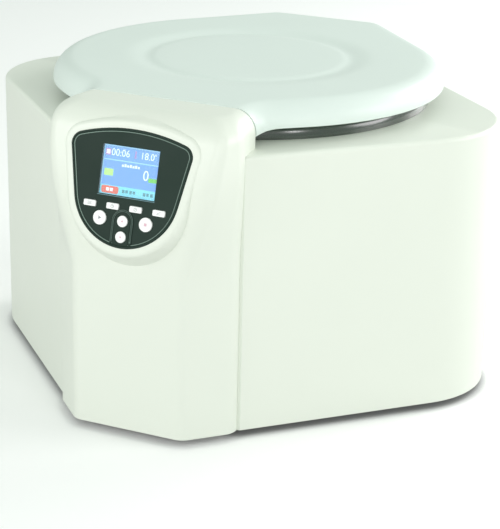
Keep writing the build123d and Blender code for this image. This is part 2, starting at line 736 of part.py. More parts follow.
# ---------------------------------------------------------------- motor
with BuildPart() as motor_housing:
    with BuildSketch(SECTION):
        Polygon((MOTOR_SHAFT_HOLE_R, MOTOR_BOTTOM), (MOTOR_R, MOTOR_BOTTOM), (MOTOR_R, FLANGE_Z),
                (FLANGE_R, FLANGE_Z), (FLANGE_R, FLANGE_Z + FLANGE_THICK),
                (MOTOR_R, FLANGE_Z + FLANGE_THICK), (MOTOR_R, MOTOR_TOP),
                (MOTOR_R - MOTOR_WALL, MOTOR_TOP),
                (MOTOR_R - MOTOR_WALL, MOTOR_BOTTOM + MOTOR_WALL),
                (BEARING_R + RUNNING, MOTOR_BOTTOM + MOTOR_WALL),
                (MOTOR_SHAFT_HOLE_R, MOTOR_BOTTOM + MOTOR_WALL), align=None)
    revolve(axis=ROTOR_AXIS)
    with BuildSketch(level(FLANGE_Z)):
        with PolarLocations(DAMPER_CIRCLE_R, DAMPERS, DAMPER_START):
            Circle(DAMPER_STUD_R + RUNNING)
    extrude(amount=FLANGE_THICK, mode=Mode.SUBTRACT)
    with BuildSketch(level(MOTOR_BOTTOM + FIN_START)):
        with PolarLocations(MOTOR_R + FIN_RISE / 2 - 1, FINS):
            Rectangle(FIN_RISE + 1, FIN_THICK)
    extrude(amount=FIN_HEIGHT)
save(motor_housing.part, "motor_housing")

with BuildPart() as motor_end_cap:
    with BuildSketch(SECTION):
        Polygon((MOTOR_SHAFT_HOLE_R, MOTOR_TOP + END_CAP_H), (BEARING_R + MOTOR_WALL, MOTOR_TOP + END_CAP_H),
                (MOTOR_R, MOTOR_TOP + MOTOR_WALL), (MOTOR_R, MOTOR_TOP),
                (BEARING_R + RUNNING, MOTOR_TOP),
                (BEARING_R + RUNNING, MOTOR_TOP + END_CAP_H - MOTOR_WALL / 2),
                (MOTOR_SHAFT_HOLE_R, MOTOR_TOP + END_CAP_H - MOTOR_WALL / 2), align=None)
    revolve(axis=ROTOR_AXIS)
save(motor_end_cap.part, "motor_end_cap")

with BuildPart() as shaft_bearings:
    for bottom in (MOTOR_BOTTOM + MOTOR_WALL, MOTOR_TOP):
        with BuildSketch(level(bottom)):
            Circle(BEARING_R)
            Circle(SHAFT_R + RUNNING, mode=Mode.SUBTRACT)
        extrude(amount=BEARING_H)
        groove_r = (BEARING_R + SHAFT_R) / 2
        with BuildSketch(level(bottom + BEARING_H)):
            Circle(groove_r + BEARING_GROOVE)
            Circle(groove_r - BEARING_GROOVE, mode=Mode.SUBTRACT)
        extrude(amount=-BEARING_GROOVE, mode=Mode.SUBTRACT)
save(shaft_bearings.part, "shaft_bearings")

with BuildPart() as motor_stator:
    with BuildSketch(level(STATOR_BOTTOM)):
        Circle(MOTOR_R - MOTOR_WALL - RUNNING)
        Circle(STATOR_BORE_R, mode=Mode.SUBTRACT)
        with PolarLocations(STATOR_BORE_R, STATOR_SLOTS):
            Rectangle(STATOR_SLOT_L, STATOR_SLOT_W, mode=Mode.SUBTRACT)
    extrude(amount=STATOR_H)
save(motor_stator.part, "motor_stator")

with BuildPart() as motor_armature:
    with BuildSketch(level(STATOR_BOTTOM)):
        Circle(STATOR_BORE_R - AIR_GAP)
        Circle(SHAFT_R + RUNNING, mode=Mode.SUBTRACT)
    extrude(amount=STATOR_H)
save(motor_armature.part, "motor_armature")

with BuildPart() as motor_posts:
    with BuildSketch(level(BASE_Z + BASE_THICK)):
        with PolarLocations(DAMPER_CIRCLE_R, DAMPERS, DAMPER_START):
            RegularPolygon(POST_R, 6)
    extrude(amount=POST_TOP - BASE_Z - BASE_THICK)
save(motor_posts.part, "motor_posts")

with BuildPart() as motor_dampers:
    with BuildSketch(level(POST_TOP)):
        with PolarLocations(DAMPER_CIRCLE_R, DAMPERS, DAMPER_START):
            Circle(DAMPER_R)
    extrude(amount=FLANGE_Z - POST_TOP)
    with BuildSketch(level(FLANGE_Z)):
        with PolarLocations(DAMPER_CIRCLE_R, DAMPERS, DAMPER_START):
            Circle(DAMPER_STUD_R)
    extrude(amount=FLANGE_THICK + DAMPER_STUD_R)
save(motor_dampers.part, "motor_dampers")

with BuildPart() as imbalance_switch:
    with BuildSketch(level(FLANGE_Z + FLANGE_THICK)):
        with Locations((IMBALANCE_X, 0)):
            Rectangle(IMBALANCE_W, IMBALANCE_W * 2)
    extrude(amount=IMBALANCE_W)
    fillet(imbalance_switch.edges().filter_by(Axis.Z), 1)
save(imbalance_switch.part, "imbalance_switch")

with BuildPart() as drive_shaft:
    with BuildSketch(SECTION):
        Polygon((0, SHAFT_BOTTOM), (SHAFT_R, SHAFT_BOTTOM), (SHAFT_R, SHAFT_STEP_Z),
                (SHAFT_SEAT_R, SHAFT_STEP_Z + SHAFT_SEAT_R - SHAFT_R), (SHAFT_SEAT_R, CONE_BOTTOM),
                (SHAFT_TIP_R, CONE_TOP), (SHAFT_TIP_R, SHAFT_TOP), (0, SHAFT_TOP), align=None)
    revolve(axis=ROTOR_AXIS)
save(drive_shaft.part, "drive_shaft")

# ---------------------------------------------------------------- rotor
with BuildPart() as rotor_yoke:
    with BuildSketch(SECTION):
        Polygon((SHAFT_SEAT_R + RUNNING, CONE_BOTTOM), (HUB_R, CONE_BOTTOM), (HUB_R, WEB_BOTTOM),
                (WEB_R, WEB_BOTTOM), (WEB_R, WEB_TOP), (HUB_R, WEB_TOP), (HUB_R, CONE_TOP),
                (SHAFT_TIP_R + RUNNING, CONE_TOP), align=None)
    revolve(axis=ROTOR_AXIS)
    with BuildSketch(facing_front(-PRONG_INNER)):
        with BuildLine():
            Polyline((PIVOT_RADIUS, PIVOT_Z + PRONG_END_R), (PRONG_INNER + PRONG_THICK, WEB_TOP + PRONG_END_R),
                     (PRONG_INNER, WEB_TOP), (PRONG_INNER, WEB_BOTTOM),
                     (PRONG_INNER + PRONG_THICK, WEB_BOTTOM), (PIVOT_RADIUS, PIVOT_Z - PRONG_END_R))
            ThreePointArc((PIVOT_RADIUS, PIVOT_Z - PRONG_END_R), (PIVOT_RADIUS + PRONG_END_R, PIVOT_Z),
                          (PIVOT_RADIUS, PIVOT_Z + PRONG_END_R))
        make_face()
        with Locations((PIVOT_RADIUS, PIVOT_Z)):
            Circle(PIN_R + RUNNING, mode=Mode.SUBTRACT)
    prong = extrude(amount=PRONG_THICK)
    for turn in range(1, BUCKETS):
        add(prong.rotate(ROTOR_AXIS, turn * 360 / BUCKETS))
    mirrored_prong = mirror(prong, about=SECTION, mode=Mode.PRIVATE)
    for turn in range(BUCKETS):
        add(mirrored_prong.rotate(ROTOR_AXIS, turn * 360 / BUCKETS))
save(rotor_yoke.part, "rotor_yoke")

with BuildPart() as trunnion_pins:
    for turn in range(BUCKETS):
        angle = turn * 360 / BUCKETS
        for side in (-1, 1):
            start = Vector(PIVOT_RADIUS, side * PIN_INNER, PIVOT_Z).rotate(Axis.Z, angle)
            outward = Vector(0, side, 0).rotate(Axis.Z, angle)
            with BuildSketch(Plane(origin=start + Vector(0, AXIS_Y, 0), z_dir=outward)):
                Circle(PIN_R)
            extrude(amount=PRONG_INNER + PRONG_THICK - PIN_INNER)
save(trunnion_pins.part, "trunnion_pins")

with BuildPart() as rotor_nut:
    with BuildSketch(level(CONE_TOP)):
        Circle(NUT_R)
        with PolarLocations(NUT_R, NUT_GRIPS):
            Circle(NUT_GRIP_R, mode=Mode.SUBTRACT)
        Circle(SHAFT_TIP_R + RUNNING, mode=Mode.SUBTRACT)
    extrude(amount=NUT_H)
    with BuildSketch(level(CONE_TOP + NUT_H)):
        Circle(NUT_R - NUT_GRIP_R - 1)
    extrude(amount=NUT_CAP_H)
    fillet(rotor_nut.faces().sort_by(Axis.Z)[-1].edges(), NUT_CAP_H * 0.6)
save(rotor_nut.part, "rotor_nut")

with BuildPart() as bucket_form:
    with BuildSketch(SECTION):
        with BuildLine():
            Polyline((PIVOT_RADIUS, BUCKET_BOTTOM), (PIVOT_RADIUS + BUCKET_R - BUCKET_FOOT_R, BUCKET_BOTTOM))
            TangentArc((PIVOT_RADIUS + BUCKET_R - BUCKET_FOOT_R, BUCKET_BOTTOM),
                       (PIVOT_RADIUS + BUCKET_R, BUCKET_BOTTOM + BUCKET_FOOT_R), tangent=(1, 0))
            Polyline((PIVOT_RADIUS + BUCKET_R, BUCKET_BOTTOM + BUCKET_FOOT_R),
                     (PIVOT_RADIUS + BUCKET_R, BUCKET_TOP), (PIVOT_RADIUS + BUCKET_BORE_R, BUCKET_TOP),
                     (PIVOT_RADIUS + BUCKET_BORE_R, BUCKET_BOTTOM + BUCKET_FLOOR),
                     (PIVOT_RADIUS, BUCKET_BOTTOM + BUCKET_FLOOR), (PIVOT_RADIUS, BUCKET_BOTTOM))
        make_face()
    revolve(axis=Axis((PIVOT_RADIUS, AXIS_Y, 0), (0, 0, 1)))
    with BuildSketch(facing_front(-BUCKET_EAR)):
        with Locations((PIVOT_RADIUS, PIVOT_Z)):
            Circle(BUCKET_EAR_R)
    extrude(amount=-2 * BUCKET_EAR)
    with BuildSketch(Plane((PIVOT_RADIUS, AXIS_Y, BUCKET_BOTTOM + BUCKET_FLOOR))):
        Circle(BUCKET_BORE_R)
    extrude(amount=BUCKET_TOP - BUCKET_BOTTOM, mode=Mode.SUBTRACT)
    with BuildSketch(facing_front(-PRONG_INNER)):
        with Locations((PIVOT_RADIUS, PIVOT_Z)):
            Circle(PIN_R + RUNNING)
    extrude(amount=-2 * PRONG_INNER, mode=Mode.SUBTRACT)

with BuildPart() as sleeve_form:
    with BuildSketch(Plane((PIVOT_RADIUS, AXIS_Y, BUCKET_BOTTOM + BUCKET_FLOOR))):
        Circle(SLEEVE_R)
    extrude(amount=SLEEVE_H)
    with BuildSketch(Plane((PIVOT_RADIUS, AXIS_Y, BUCKET_BOTTOM + BUCKET_FLOOR + SLEEVE_FLOOR))):
        Circle(SLEEVE_BORE_R)
    extrude(amount=SLEEVE_H, mode=Mode.SUBTRACT)
    chamfer(sleeve_form.faces().sort_by(Axis.Z)[-1].edges().filter_by(GeomType.CIRCLE).sort_by(SortBy.RADIUS)[0],
            SLEEVE_LEAD_IN)

for turn in range(BUCKETS):
    angle = turn * 360 / BUCKETS
    save(bucket_form.part.rotate(ROTOR_AXIS, angle), f"bucket_{turn + 1}")
    save(sleeve_form.part.rotate(ROTOR_AXIS, angle), f"bucket_sleeve_{turn + 1}")

# ---------------------------------------------------------------- lid
def lid_outline(inset=0.0):
    """Disc with a neck to the front cover and a rear part that carries the hinge."""
    with BuildSketch() as outline:
        Circle(LID_R - inset)
        with Locations((0, LID_FRONT_Y + inset)):
            Rectangle(2 * (COVER_HALF_WIDTH - inset), -LID_FRONT_Y, align=(Align.CENTER, Align.MIN))
        reach = math.hypot(LID_REAR_HALF_WIDTH, LID_REAR_Y)
        turn = math.atan2(LID_REAR_Y, LID_REAR_HALF_WIDTH) - math.acos(LID_R / reach)
        touch_x = (LID_R - inset) * math.cos(turn)
        touch_y = (LID_R - inset) * math.sin(turn)
        rear_x = LID_REAR_HALF_WIDTH - inset
        rear_y = LID_REAR_Y - inset
        Polygon((-touch_x, touch_y), (-rear_x, rear_y), (rear_x, rear_y), (touch_x, touch_y), align=None)
        with Locations((0, LID_FRONT_Y + inset)):
            Rectangle(3 * LID_R, LID_R, align=(Align.CENTER, Align.MAX), mode=Mode.SUBTRACT)
        fillet([v for v in outline.vertices() if v.Y > rear_y - 1], LID_REAR_CORNER_R)
        necks = [v for v in outline.vertices()
                 if abs(abs(v.X) - COVER_HALF_WIDTH + inset) < 0.1 and v.Y > LID_FRONT_Y + inset + 1]
        fillet(necks, LID_NECK_R)
    return outline.sketch


with BuildPart() as lid_shell:
    with BuildSketch(level(LID_BOTTOM)):
        add(lid_outline())
    extrude(amount=LID_EDGE_TOP - LID_BOTTOM)
    rim = [e for e in lid_shell.faces().sort_by(Axis.Z)[-1].edges()
           if e.center().Y > AXIS_Y + LID_FRONT_Y + 1]
    fillet(rim, LID_SHOULDER_R)
    with BuildSketch(SECTION):
        with BuildLine():
            dome_r = LID_R - LID_SHOULDER_R
            dish_z = LID_DOME_TOP - LID_DISH_DEPTH
            Polyline((0, LID_EDGE_TOP - 1), (0, dish_z), (LID_DISH_R - LID_DISH_BEVEL, dish_z),
                     (LID_DISH_R, LID_DOME_TOP))
            ThreePointArc((LID_DISH_R, LID_DOME_TOP), ((LID_DISH_R + dome_r) / 2, LID_SHOULDER_MID),
                          (dome_r, LID_EDGE_TOP))
            Polyline((dome_r, LID_EDGE_TOP), (dome_r, LID_EDGE_TOP - 1), (0, LID_EDGE_TOP - 1))
        make_face()
    revolve(axis=ROTOR_AXIS)
    with BuildSketch(level(LID_BOTTOM)):
        Circle(LID_CAVITY_R)
    extrude(amount=LID_CAVITY_H, mode=Mode.SUBTRACT)
    with BuildSketch(level(LID_BOTTOM)):
        Circle(SEAL_OUTER_R + RUNNING)
        Circle(SEAL_INNER_R - RUNNING, mode=Mode.SUBTRACT)
    extrude(amount=SEAL_GROOVE, mode=Mode.SUBTRACT)
    with BuildSketch(level(LID_NECK_BOTTOM)):
        with Locations((0, LID_FRONT_Y)):
            Rectangle(2 * COVER_HALF_WIDTH, NECK_LIP, align=(Align.CENTER, Align.MIN))
        Circle(RING_OUTER_R + 2 * SLIP, mode=Mode.SUBTRACT)
    extrude(amount=LID_BOTTOM - LID_NECK_BOTTOM)
    with BuildSketch(facing_front(LID_FRONT_Y)):
        with Locations((0, LATCH_Z)):
            Rectangle(STRIKER_W + SLIP, STRIKER_H + SLIP)
    extrude(amount=-STRIKER_THICK, mode=Mode.SUBTRACT)
    with BuildSketch(facing_front(LID_FRONT_Y)):
        with Locations((0, LATCH_Z)):
            Circle(LATCH_BOLT_R + SLIP * 2)
    extrude(amount=-LATCH_TRAVEL - STRIKER_THICK, mode=Mode.SUBTRACT)
save(lid_shell.part, "lid_shell")

with BuildPart() as latch_striker:
    with BuildSketch(facing_front(LID_FRONT_Y)):
        with Locations((0, LATCH_Z)):
            Rectangle(STRIKER_W, STRIKER_H)
            Circle(LATCH_BOLT_R + SLIP, mode=Mode.SUBTRACT)
    extrude(amount=-STRIKER_THICK)
save(latch_striker.part, "latch_striker")

with BuildPart() as lid_inner_panel:
    with BuildSketch(SECTION):
        Polygon((0, LID_BOTTOM), (PANEL_STEP_R, LID_BOTTOM), (PANEL_STEP_R + 2, LID_BOTTOM + 2),
                (LID_CAVITY_R - SLIP, LID_BOTTOM + 2), (LID_CAVITY_R - SLIP, LID_BOTTOM + 2 + BOWL_WALL),
                (PANEL_STEP_R + 1, LID_BOTTOM + 2 + BOWL_WALL), (PANEL_STEP_R - 1, LID_BOTTOM + BOWL_WALL),
                (0, LID_BOTTOM + BOWL_WALL), align=None)
    revolve(axis=ROTOR_AXIS)
save(lid_inner_panel.part, "lid_inner_panel")

with BuildPart() as lid_seal:
    with BuildSketch(SECTION):
        Polygon((SEAL_INNER_R, LID_BOTTOM + SEAL_GROOVE), (SEAL_OUTER_R, LID_BOTTOM + SEAL_GROOVE),
                (SEAL_OUTER_R, LID_BOTTOM), ((SEAL_INNER_R + SEAL_OUTER_R) / 2 + 2, RING_TOP + SLIP),
                ((SEAL_INNER_R + SEAL_OUTER_R) / 2 - 2, RING_TOP + SLIP), (SEAL_INNER_R, LID_BOTTOM),
                align=None)
    revolve(axis=ROTOR_AXIS)
save(lid_seal.part, "lid_seal")

# ---------------------------------------------------------------- hinge
with BuildPart() as hinge_brackets:
    for hinge_x in (-HINGE_X, HINGE_X):
        for side in (-1, 1):
            near = hinge_x + side * (LEAF_KNUCKLE / 2 + SLIP)
            low_x = min(near, near + side * OUTER_KNUCKLE)
            with BuildSketch(side_view(low_x)):
                with Locations((HINGE_Y, HINGE_Z)):
                    Circle(KNUCKLE_R)
                    Rectangle(2 * KNUCKLE_R, HINGE_Z - DECK_Z, align=(Align.CENTER, Align.MAX))
                    Circle(HINGE_PIN_R + RUNNING, mode=Mode.SUBTRACT)
            extrude(amount=OUTER_KNUCKLE)
        with BuildSketch(level(DECK_Z)):
            with Locations((hinge_x, HINGE_Y + KNUCKLE_R)):
                Rectangle(LEAF_KNUCKLE + 2 * OUTER_KNUCKLE + 2 * SLIP, BRACKET_DEPTH,
                          align=(Align.CENTER, Align.MAX))
            with Locations((hinge_x, HINGE_SCREW_Y)):
                with GridLocations(HINGE_SCREW_PITCH, 0, 2, 1):
                    Circle(HINGE_SCREW_R + RUNNING, mode=Mode.SUBTRACT)
        extrude(amount=BRACKET_THICK)
save(hinge_brackets.part, "hinge_brackets")

with BuildPart() as hinge_screws:
    for hinge_x in (-HINGE_X, HINGE_X):
        with BuildSketch(level(DECK_Z + BRACKET_THICK)):
            with Locations((hinge_x, HINGE_SCREW_Y)):
                with GridLocations(HINGE_SCREW_PITCH, 0, 2, 1):
                    Circle(HINGE_SCREW_R * 2)
        extrude(amount=SCREW_HEAD_H)
        with BuildSketch(level(DECK_Z)):
            with Locations((hinge_x, HINGE_SCREW_Y)):
                with GridLocations(HINGE_SCREW_PITCH, 0, 2, 1):
                    Circle(HINGE_SCREW_R)
        extrude(amount=BRACKET_THICK)
save(hinge_screws.part, "hinge_screws")

with BuildPart() as hinge_leaves:
    for hinge_x in (-HINGE_X, HINGE_X):
        with BuildSketch(side_view(hinge_x - LEAF_KNUCKLE / 2)):
            with Locations((HINGE_Y, HINGE_Z)):
                Circle(KNUCKLE_R - SLIP)
            Polygon((LEAF_FRONT_Y, LID_BOTTOM - LEAF_THICK), (LEAF_FRONT_Y, LID_BOTTOM),
                    (LID_REAR_Y - 2, LID_BOTTOM), (HINGE_Y + 2, HINGE_Z + KNUCKLE_R - 1),
                    (HINGE_Y - KNUCKLE_R + 1, HINGE_Z), align=None)
            with Locations((HINGE_Y, HINGE_Z)):
                Circle(HINGE_PIN_R + RUNNING, mode=Mode.SUBTRACT)
        extrude(amount=LEAF_KNUCKLE)
save(hinge_leaves.part, "hinge_leaves")

with BuildPart() as hinge_pins:
    for hinge_x in (-HINGE_X, HINGE_X):
        half = LEAF_KNUCKLE / 2 + SLIP + OUTER_KNUCKLE
        with BuildSketch(side_view(hinge_x - half)):
            with Locations((HINGE_Y, HINGE_Z)):
                Circle(HINGE_PIN_R)
        extrude(amount=2 * half)
        with BuildSketch(side_view(hinge_x - half)):
            with Locations((HINGE_Y, HINGE_Z)):
                Circle(HINGE_PIN_R * 1.6)
        extrude(amount=-HINGE_PIN_R / 2)
save(hinge_pins.part, "hinge_pins")

# ---------------------------------------------------------------- lid lock
with BuildPart() as latch_solenoid:
    with BuildSketch(facing_front(SOLENOID_Y)):
        with Locations((0, LATCH_Z)):
            RectangleRounded(SOLENOID_W, SOLENOID_H, 2)
            Circle(LATCH_BOLT_R + RUNNING, mode=Mode.SUBTRACT)
    extrude(amount=SOLENOID_L)
save(latch_solenoid.part, "latch_solenoid")

with BuildPart() as latch_bolt:
    with BuildSketch(facing_front(COVER_BACK_Y - LATCH_SETBACK)):
        with Locations((0, LATCH_Z)):
            Circle(LATCH_BOLT_R)
    extrude(amount=LATCH_BOLT_L)
    chamfer(latch_bolt.faces().sort_by(Axis.Y)[-1].edges(), 1)
save(latch_bolt.part, "latch_bolt")

# ---------------------------------------------------------------- power side
with BuildPart() as drive_board:
    with BuildSketch(level(BASE_Z + BASE_THICK + BOARD_STANDOFF)):
        with Locations((DRIVE_BOARD_X, DRIVE_BOARD_Y)):
            Rectangle(DRIVE_BOARD_W, DRIVE_BOARD_L)
    extrude(amount=BOARD_THICK)
    with BuildSketch(level(BASE_Z + BASE_THICK)):
        with Locations((DRIVE_BOARD_X, DRIVE_BOARD_Y)):
            with GridLocations(DRIVE_BOARD_W * 0.85, DRIVE_BOARD_L * 0.85, 2, 2):
                Circle(BOARD_HOLE_R * 2)
    extrude(amount=BOARD_STANDOFF)
    with BuildSketch(level(BASE_Z + BASE_THICK + BOARD_STANDOFF + BOARD_THICK)):
        with Locations((DRIVE_BOARD_X, DRIVE_BOARD_Y)):
            with GridLocations(0, CAPACITOR_R * 2.4, 1, 3):
                Circle(CAPACITOR_R)
    extrude(amount=CAPACITOR_H)
save(drive_board.part, "drive_board")

with BuildPart() as power_inlet:
    with BuildSketch(on_rear_flat()):
        with Locations((0, INLET_Z)):
            RectangleRounded(INLET_W + 2 * INLET_LIP, INLET_H + INLET_LIP, INLET_LIP)
    extrude(amount=INLET_LIP_THICK)
    with BuildSketch(on_rear_flat()):
        with Locations((0, INLET_Z)):
            Rectangle(INLET_W, INLET_H)
    extrude(amount=-INLET_DEPTH)
    with BuildSketch(on_rear_flat(INLET_LIP_THICK)):
        with Locations((0, INLET_Z)):
            Rectangle(SOCKET_W, SOCKET_H)
            chamfer(vertices().group_by(Axis.Y)[-1], SOCKET_CHAMFER)
    extrude(amount=-SOCKET_DEPTH, mode=Mode.SUBTRACT)
save(power_inlet.part, "power_inlet")

with BuildPart() as inlet_pins:
    with BuildSketch(on_rear_flat(INLET_LIP_THICK - SOCKET_DEPTH)):
        with Locations((0, INLET_Z + PIN_RISE), (-PIN_PITCH, INLET_Z - PIN_RISE), (PIN_PITCH, INLET_Z - PIN_RISE)):
            Rectangle(BLADE_W, BLADE_H)
    extrude(amount=BLADE_L)
save(inlet_pins.part, "inlet_pins")

with BuildPart() as switch_frame:
    with BuildSketch(on_rear_flat()):
        with Locations((0, SWITCH_Z)):
            RectangleRounded(SWITCH_W + 2 * SWITCH_LIP, SWITCH_H + 2 * SWITCH_LIP, SWITCH_LIP)
    extrude(amount=SWITCH_LIP_THICK)
    with BuildSketch(on_rear_flat()):
        with Locations((0, SWITCH_Z)):
            Rectangle(SWITCH_W, SWITCH_H)
    extrude(amount=-SWITCH_DEPTH)
    with BuildSketch(on_rear_flat(SWITCH_LIP_THICK)):
        with Locations((0, SWITCH_Z)):
            Rectangle(SWITCH_W - 2 * SWITCH_LIP, SWITCH_H - 2 * SWITCH_LIP)
    extrude(amount=-SWITCH_DEPTH, mode=Mode.SUBTRACT)
save(switch_frame.part, "switch_frame")

with BuildPart() as power_rocker:
    half_w = SWITCH_W / 2 - SWITCH_LIP - SLIP
    half_h = SWITCH_H / 2 - SWITCH_LIP - SLIP
    pivot_y = REAR_FLAT_Y + SWITCH_LIP_THICK - ROCKER_PIVOT_DEPTH
    with BuildSketch(side_view(-half_w)):
        with BuildLine():
            face_y = REAR_FLAT_Y + SWITCH_LIP_THICK
            Polyline((face_y + ROCKER_RISE, SWITCH_Z + half_h - ROCKER_RELIEF),
                     (face_y - ROCKER_DISH, SWITCH_Z),
                     (face_y + ROCKER_RISE, SWITCH_Z - half_h + ROCKER_RELIEF),
                     (pivot_y, SWITCH_Z - half_h + ROCKER_RELIEF * 1.6),
                     (pivot_y - ROCKER_DISH, SWITCH_Z),
                     (pivot_y, SWITCH_Z + half_h - ROCKER_RELIEF * 1.6), close=True)
        make_face()
    extrude(amount=2 * half_w)
rocker_axis = Axis((0, AXIS_Y + pivot_y, SWITCH_Z), (1, 0, 0))
save(power_rocker.part.rotate(rocker_axis, -ROCKER_SWING), "power_rocker")
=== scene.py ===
"""Dresses a benchtop swing-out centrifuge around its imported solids, in metres.

X runs to the right, Y to the rear and Z up from the bench. The key panel has its own
directions: ACROSS to the right, UPWARDS along its slope and OUTWARDS from its face.
"""
import json
import math

import bmesh
import bpy
from mathutils import Matrix, Vector


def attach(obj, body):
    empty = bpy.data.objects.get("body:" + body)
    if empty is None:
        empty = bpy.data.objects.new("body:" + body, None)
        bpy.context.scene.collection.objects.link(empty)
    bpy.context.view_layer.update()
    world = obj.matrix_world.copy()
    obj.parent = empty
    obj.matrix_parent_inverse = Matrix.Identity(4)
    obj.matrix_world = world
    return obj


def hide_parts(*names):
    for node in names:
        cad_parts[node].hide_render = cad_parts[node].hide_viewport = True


bl_info = {
    "name": "Benchtop centrifuge",
    "version": (1, 0, 0),
    "blender": (4, 5, 0),
    "location": "View3D > Sidebar > Centrifuge",
    "description": "Finishes, screen, key marks and studio for a benchtop centrifuge",
    "category": "Object",
}

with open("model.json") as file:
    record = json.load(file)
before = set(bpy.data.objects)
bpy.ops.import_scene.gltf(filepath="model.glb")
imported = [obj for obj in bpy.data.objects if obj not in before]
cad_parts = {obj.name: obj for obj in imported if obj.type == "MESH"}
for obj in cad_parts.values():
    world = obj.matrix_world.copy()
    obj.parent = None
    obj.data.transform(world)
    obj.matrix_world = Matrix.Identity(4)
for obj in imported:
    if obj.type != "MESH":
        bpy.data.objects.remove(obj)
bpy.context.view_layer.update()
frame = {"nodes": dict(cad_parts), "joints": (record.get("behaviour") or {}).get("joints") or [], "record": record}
JOINTS = {joint["name"]: joint for joint in frame["joints"]}
PRESS = Vector(JOINTS["menu_key_press"]["axis"]).normalized()
ACROSS = Vector((1.0, 0.0, 0.0))
OUTWARDS = -PRESS
UPWARDS = OUTWARDS.cross(ACROSS)
SPIN_CENTRE = Vector(JOINTS["rotor_spin"]["pos_m"])
MM = 0.001

# Lid, round the spin axis
LID_R = 225.0 * MM
LID_TOP = 357.0 * MM
LID_FOOT = 331.0 * MM
SEAM_Y = -214.7 * MM
SEAM_TOP = 354.0 * MM
SEAM_EDGE_R = 1.6 * MM
EDGE_R = 0.6 * MM
FALL_Y = -142.0 * MM          # the top falls from here to the seam
LIP_Y = -182.0 * MM           # the lower edge dips from here to the seam
LIP_FOOT = 326.0 * MM
LIP_INNER_R = 210.6 * MM
SHOULDER_R = 25.0 * MM
NECK_HALF_WIDTH = 105.0 * MM
NECK_R = 26.0 * MM
REAR_HALF_WIDTH = 74.0 * MM
REAR_Y = 255.0 * MM
REAR_CORNER_R = 34.0 * MM
CAVITY_R = 190.0 * MM
CAVITY_TOP = 348.0 * MM
LID_PITCH = 4.0 * MM          # length of one step along the lid's outline
LID_FRONT_STEPS = 40
SHOULDER_STEPS = 14
TOP_STEPS = 9                 # from the shoulder to the dish
DISH = tuple((radius * MM, depth * MM) for radius, depth in (
    (146, 0.0), (142, 0.1), (138, 0.35), (133, 0.9), (128, 1.7), (124, 2.4), (120.5, 2.85), (118, 3.0),
    (115.5, 2.95), (113, 2.6), (110.5, 2.1), (108, 1.75), (105, 1.6), (90, 1.55), (60, 1.5), (20, 1.5)))

# Chamber ring
RING_SIDES = 160
RING_EDGE_R = 0.6 * MM
CROWN_LEAN = 6.0 * MM
CROWN_STEPS = 10

# Screen and panel lines
SCREEN_LIFT = 0.02 * MM       # from the display module to the picture's lowest layer
DIGIT_STRETCH = 0.92
FONT_TO_DIGIT = 1.38          # font size over the height of its digits
TAB_CORNER_R = 2.2 * MM
# Size and place of the painted highlight strip below the display window
HIGHLIGHT_WIDER = 1.0 * MM
HIGHLIGHT_HEIGHT = 0.5 * MM
HIGHLIGHT_THICK = 0.12 * MM
HIGHLIGHT_BELOW = 1.1 * MM
LINE_PITCH = 0.7 * MM
LINE_SINK = -0.05 * MM
FACE_BAND = 0.1 * MM          # depth in which a face counts as a node's front
FACE_COSINE = 0.99
MARK_SINK = 0.01 * MM

# Merging distances and slack in metres
NODE_MERGE = 2e-6
POINT_MERGE = 1e-6
SLACK = 1e-9

# Studio
FLOOR_R = 7.0
# Reach of the painted contact shadow on the floor
PAINTED_SHADE_REACH = 0.016
LAMP_AIM = Vector((0.0, 0.0, 0.2))
LAMP_DISTANCE = 3.0
LAMP_ELEVATION = math.radians(20)
LAMP_COLOUR = (1.0, 0.97, 0.99)
LAMPS = (("front_lamp", 15, 1.6, "front_power"), ("left_lamp", -30, 1.6, "left_power"),
         ("glint_lamp", 52, 0.4, "glint_power"), ("right_lamp", 105, 1.6, "right_power"),
         ("back_lamp", 150, 1.6, "back_power"))      # name, azimuth in degrees, width, power setting
CAMERA_PLACE = (0.80544, SPIN_CENTRE.y - 1.82384, 0.82199)
CAMERA_YAW, CAMERA_PITCH, CAMERA_ROLL = 0.412739, 0.347825, 0.0219339
WHITE = (1.0, 1.0, 1.0, 1.0)


def reach(node, direction):
    """Lowest and highest place of a CAD node along a direction."""
    places = [vertex.co.dot(direction) for vertex in frame["nodes"][node].data.vertices]
    return min(places), max(places)


def middle(node, direction):
    """Middle of a CAD node along a direction."""
    low, high = reach(node, direction)
    return (low + high) / 2


# ---- modelling helpers
def clear_selection():
    """Object mode with nothing selected."""
    if bpy.context.object and bpy.context.object.mode != "OBJECT":
        bpy.ops.object.mode_set(mode="OBJECT")
    bpy.ops.object.select_all(action="DESELECT")


def pick(piece):
    """Make one object the only selected one and the active one."""
    clear_selection()
    piece.select_set(True)
    bpy.context.view_layer.objects.active = piece


def place(piece, matrix):
    """Put a finished mesh at its place, and keep its object at the origin."""
    piece.data.transform(matrix)
    piece.data.update()


def panel_place(across, upwards, outwards, turn=0.0):
    """Matrix of a spot on the key panel, with its own Z pointing out of the face."""
    basis = Matrix((ACROSS, UPWARDS, OUTWARDS)).transposed().to_4x4()
    spot = ACROSS * across + UPWARDS * upwards + OUTWARDS * outwards
    return Matrix.Translation(spot) @ basis @ Matrix.Rotation(turn, 4, "Z")


def finish_piece(piece, name, body, material):
    """Name a piece, give it its finish and make it ride with its body."""
    piece.name = name
    piece.data.name = name
    piece.data.materials.clear()
    piece.data.materials.append(material)
    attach(piece, body)
    return piece


def smooth(piece, degrees=35.0):
    """Smooth shading over gentle edges."""
    pick(piece)
    bpy.ops.object.shade_smooth_by_angle(angle=math.radians(degrees))


def edit_all():
    """Edit mode with the whole mesh selected."""
    bpy.ops.object.mode_set(mode="EDIT")
    bpy.ops.mesh.select_all(action="SELECT")


def linked(name, data):
    """New object in the scene with this data."""
    made = bpy.data.objects.new(name, data)
    bpy.context.scene.collection.objects.link(made)
    return made


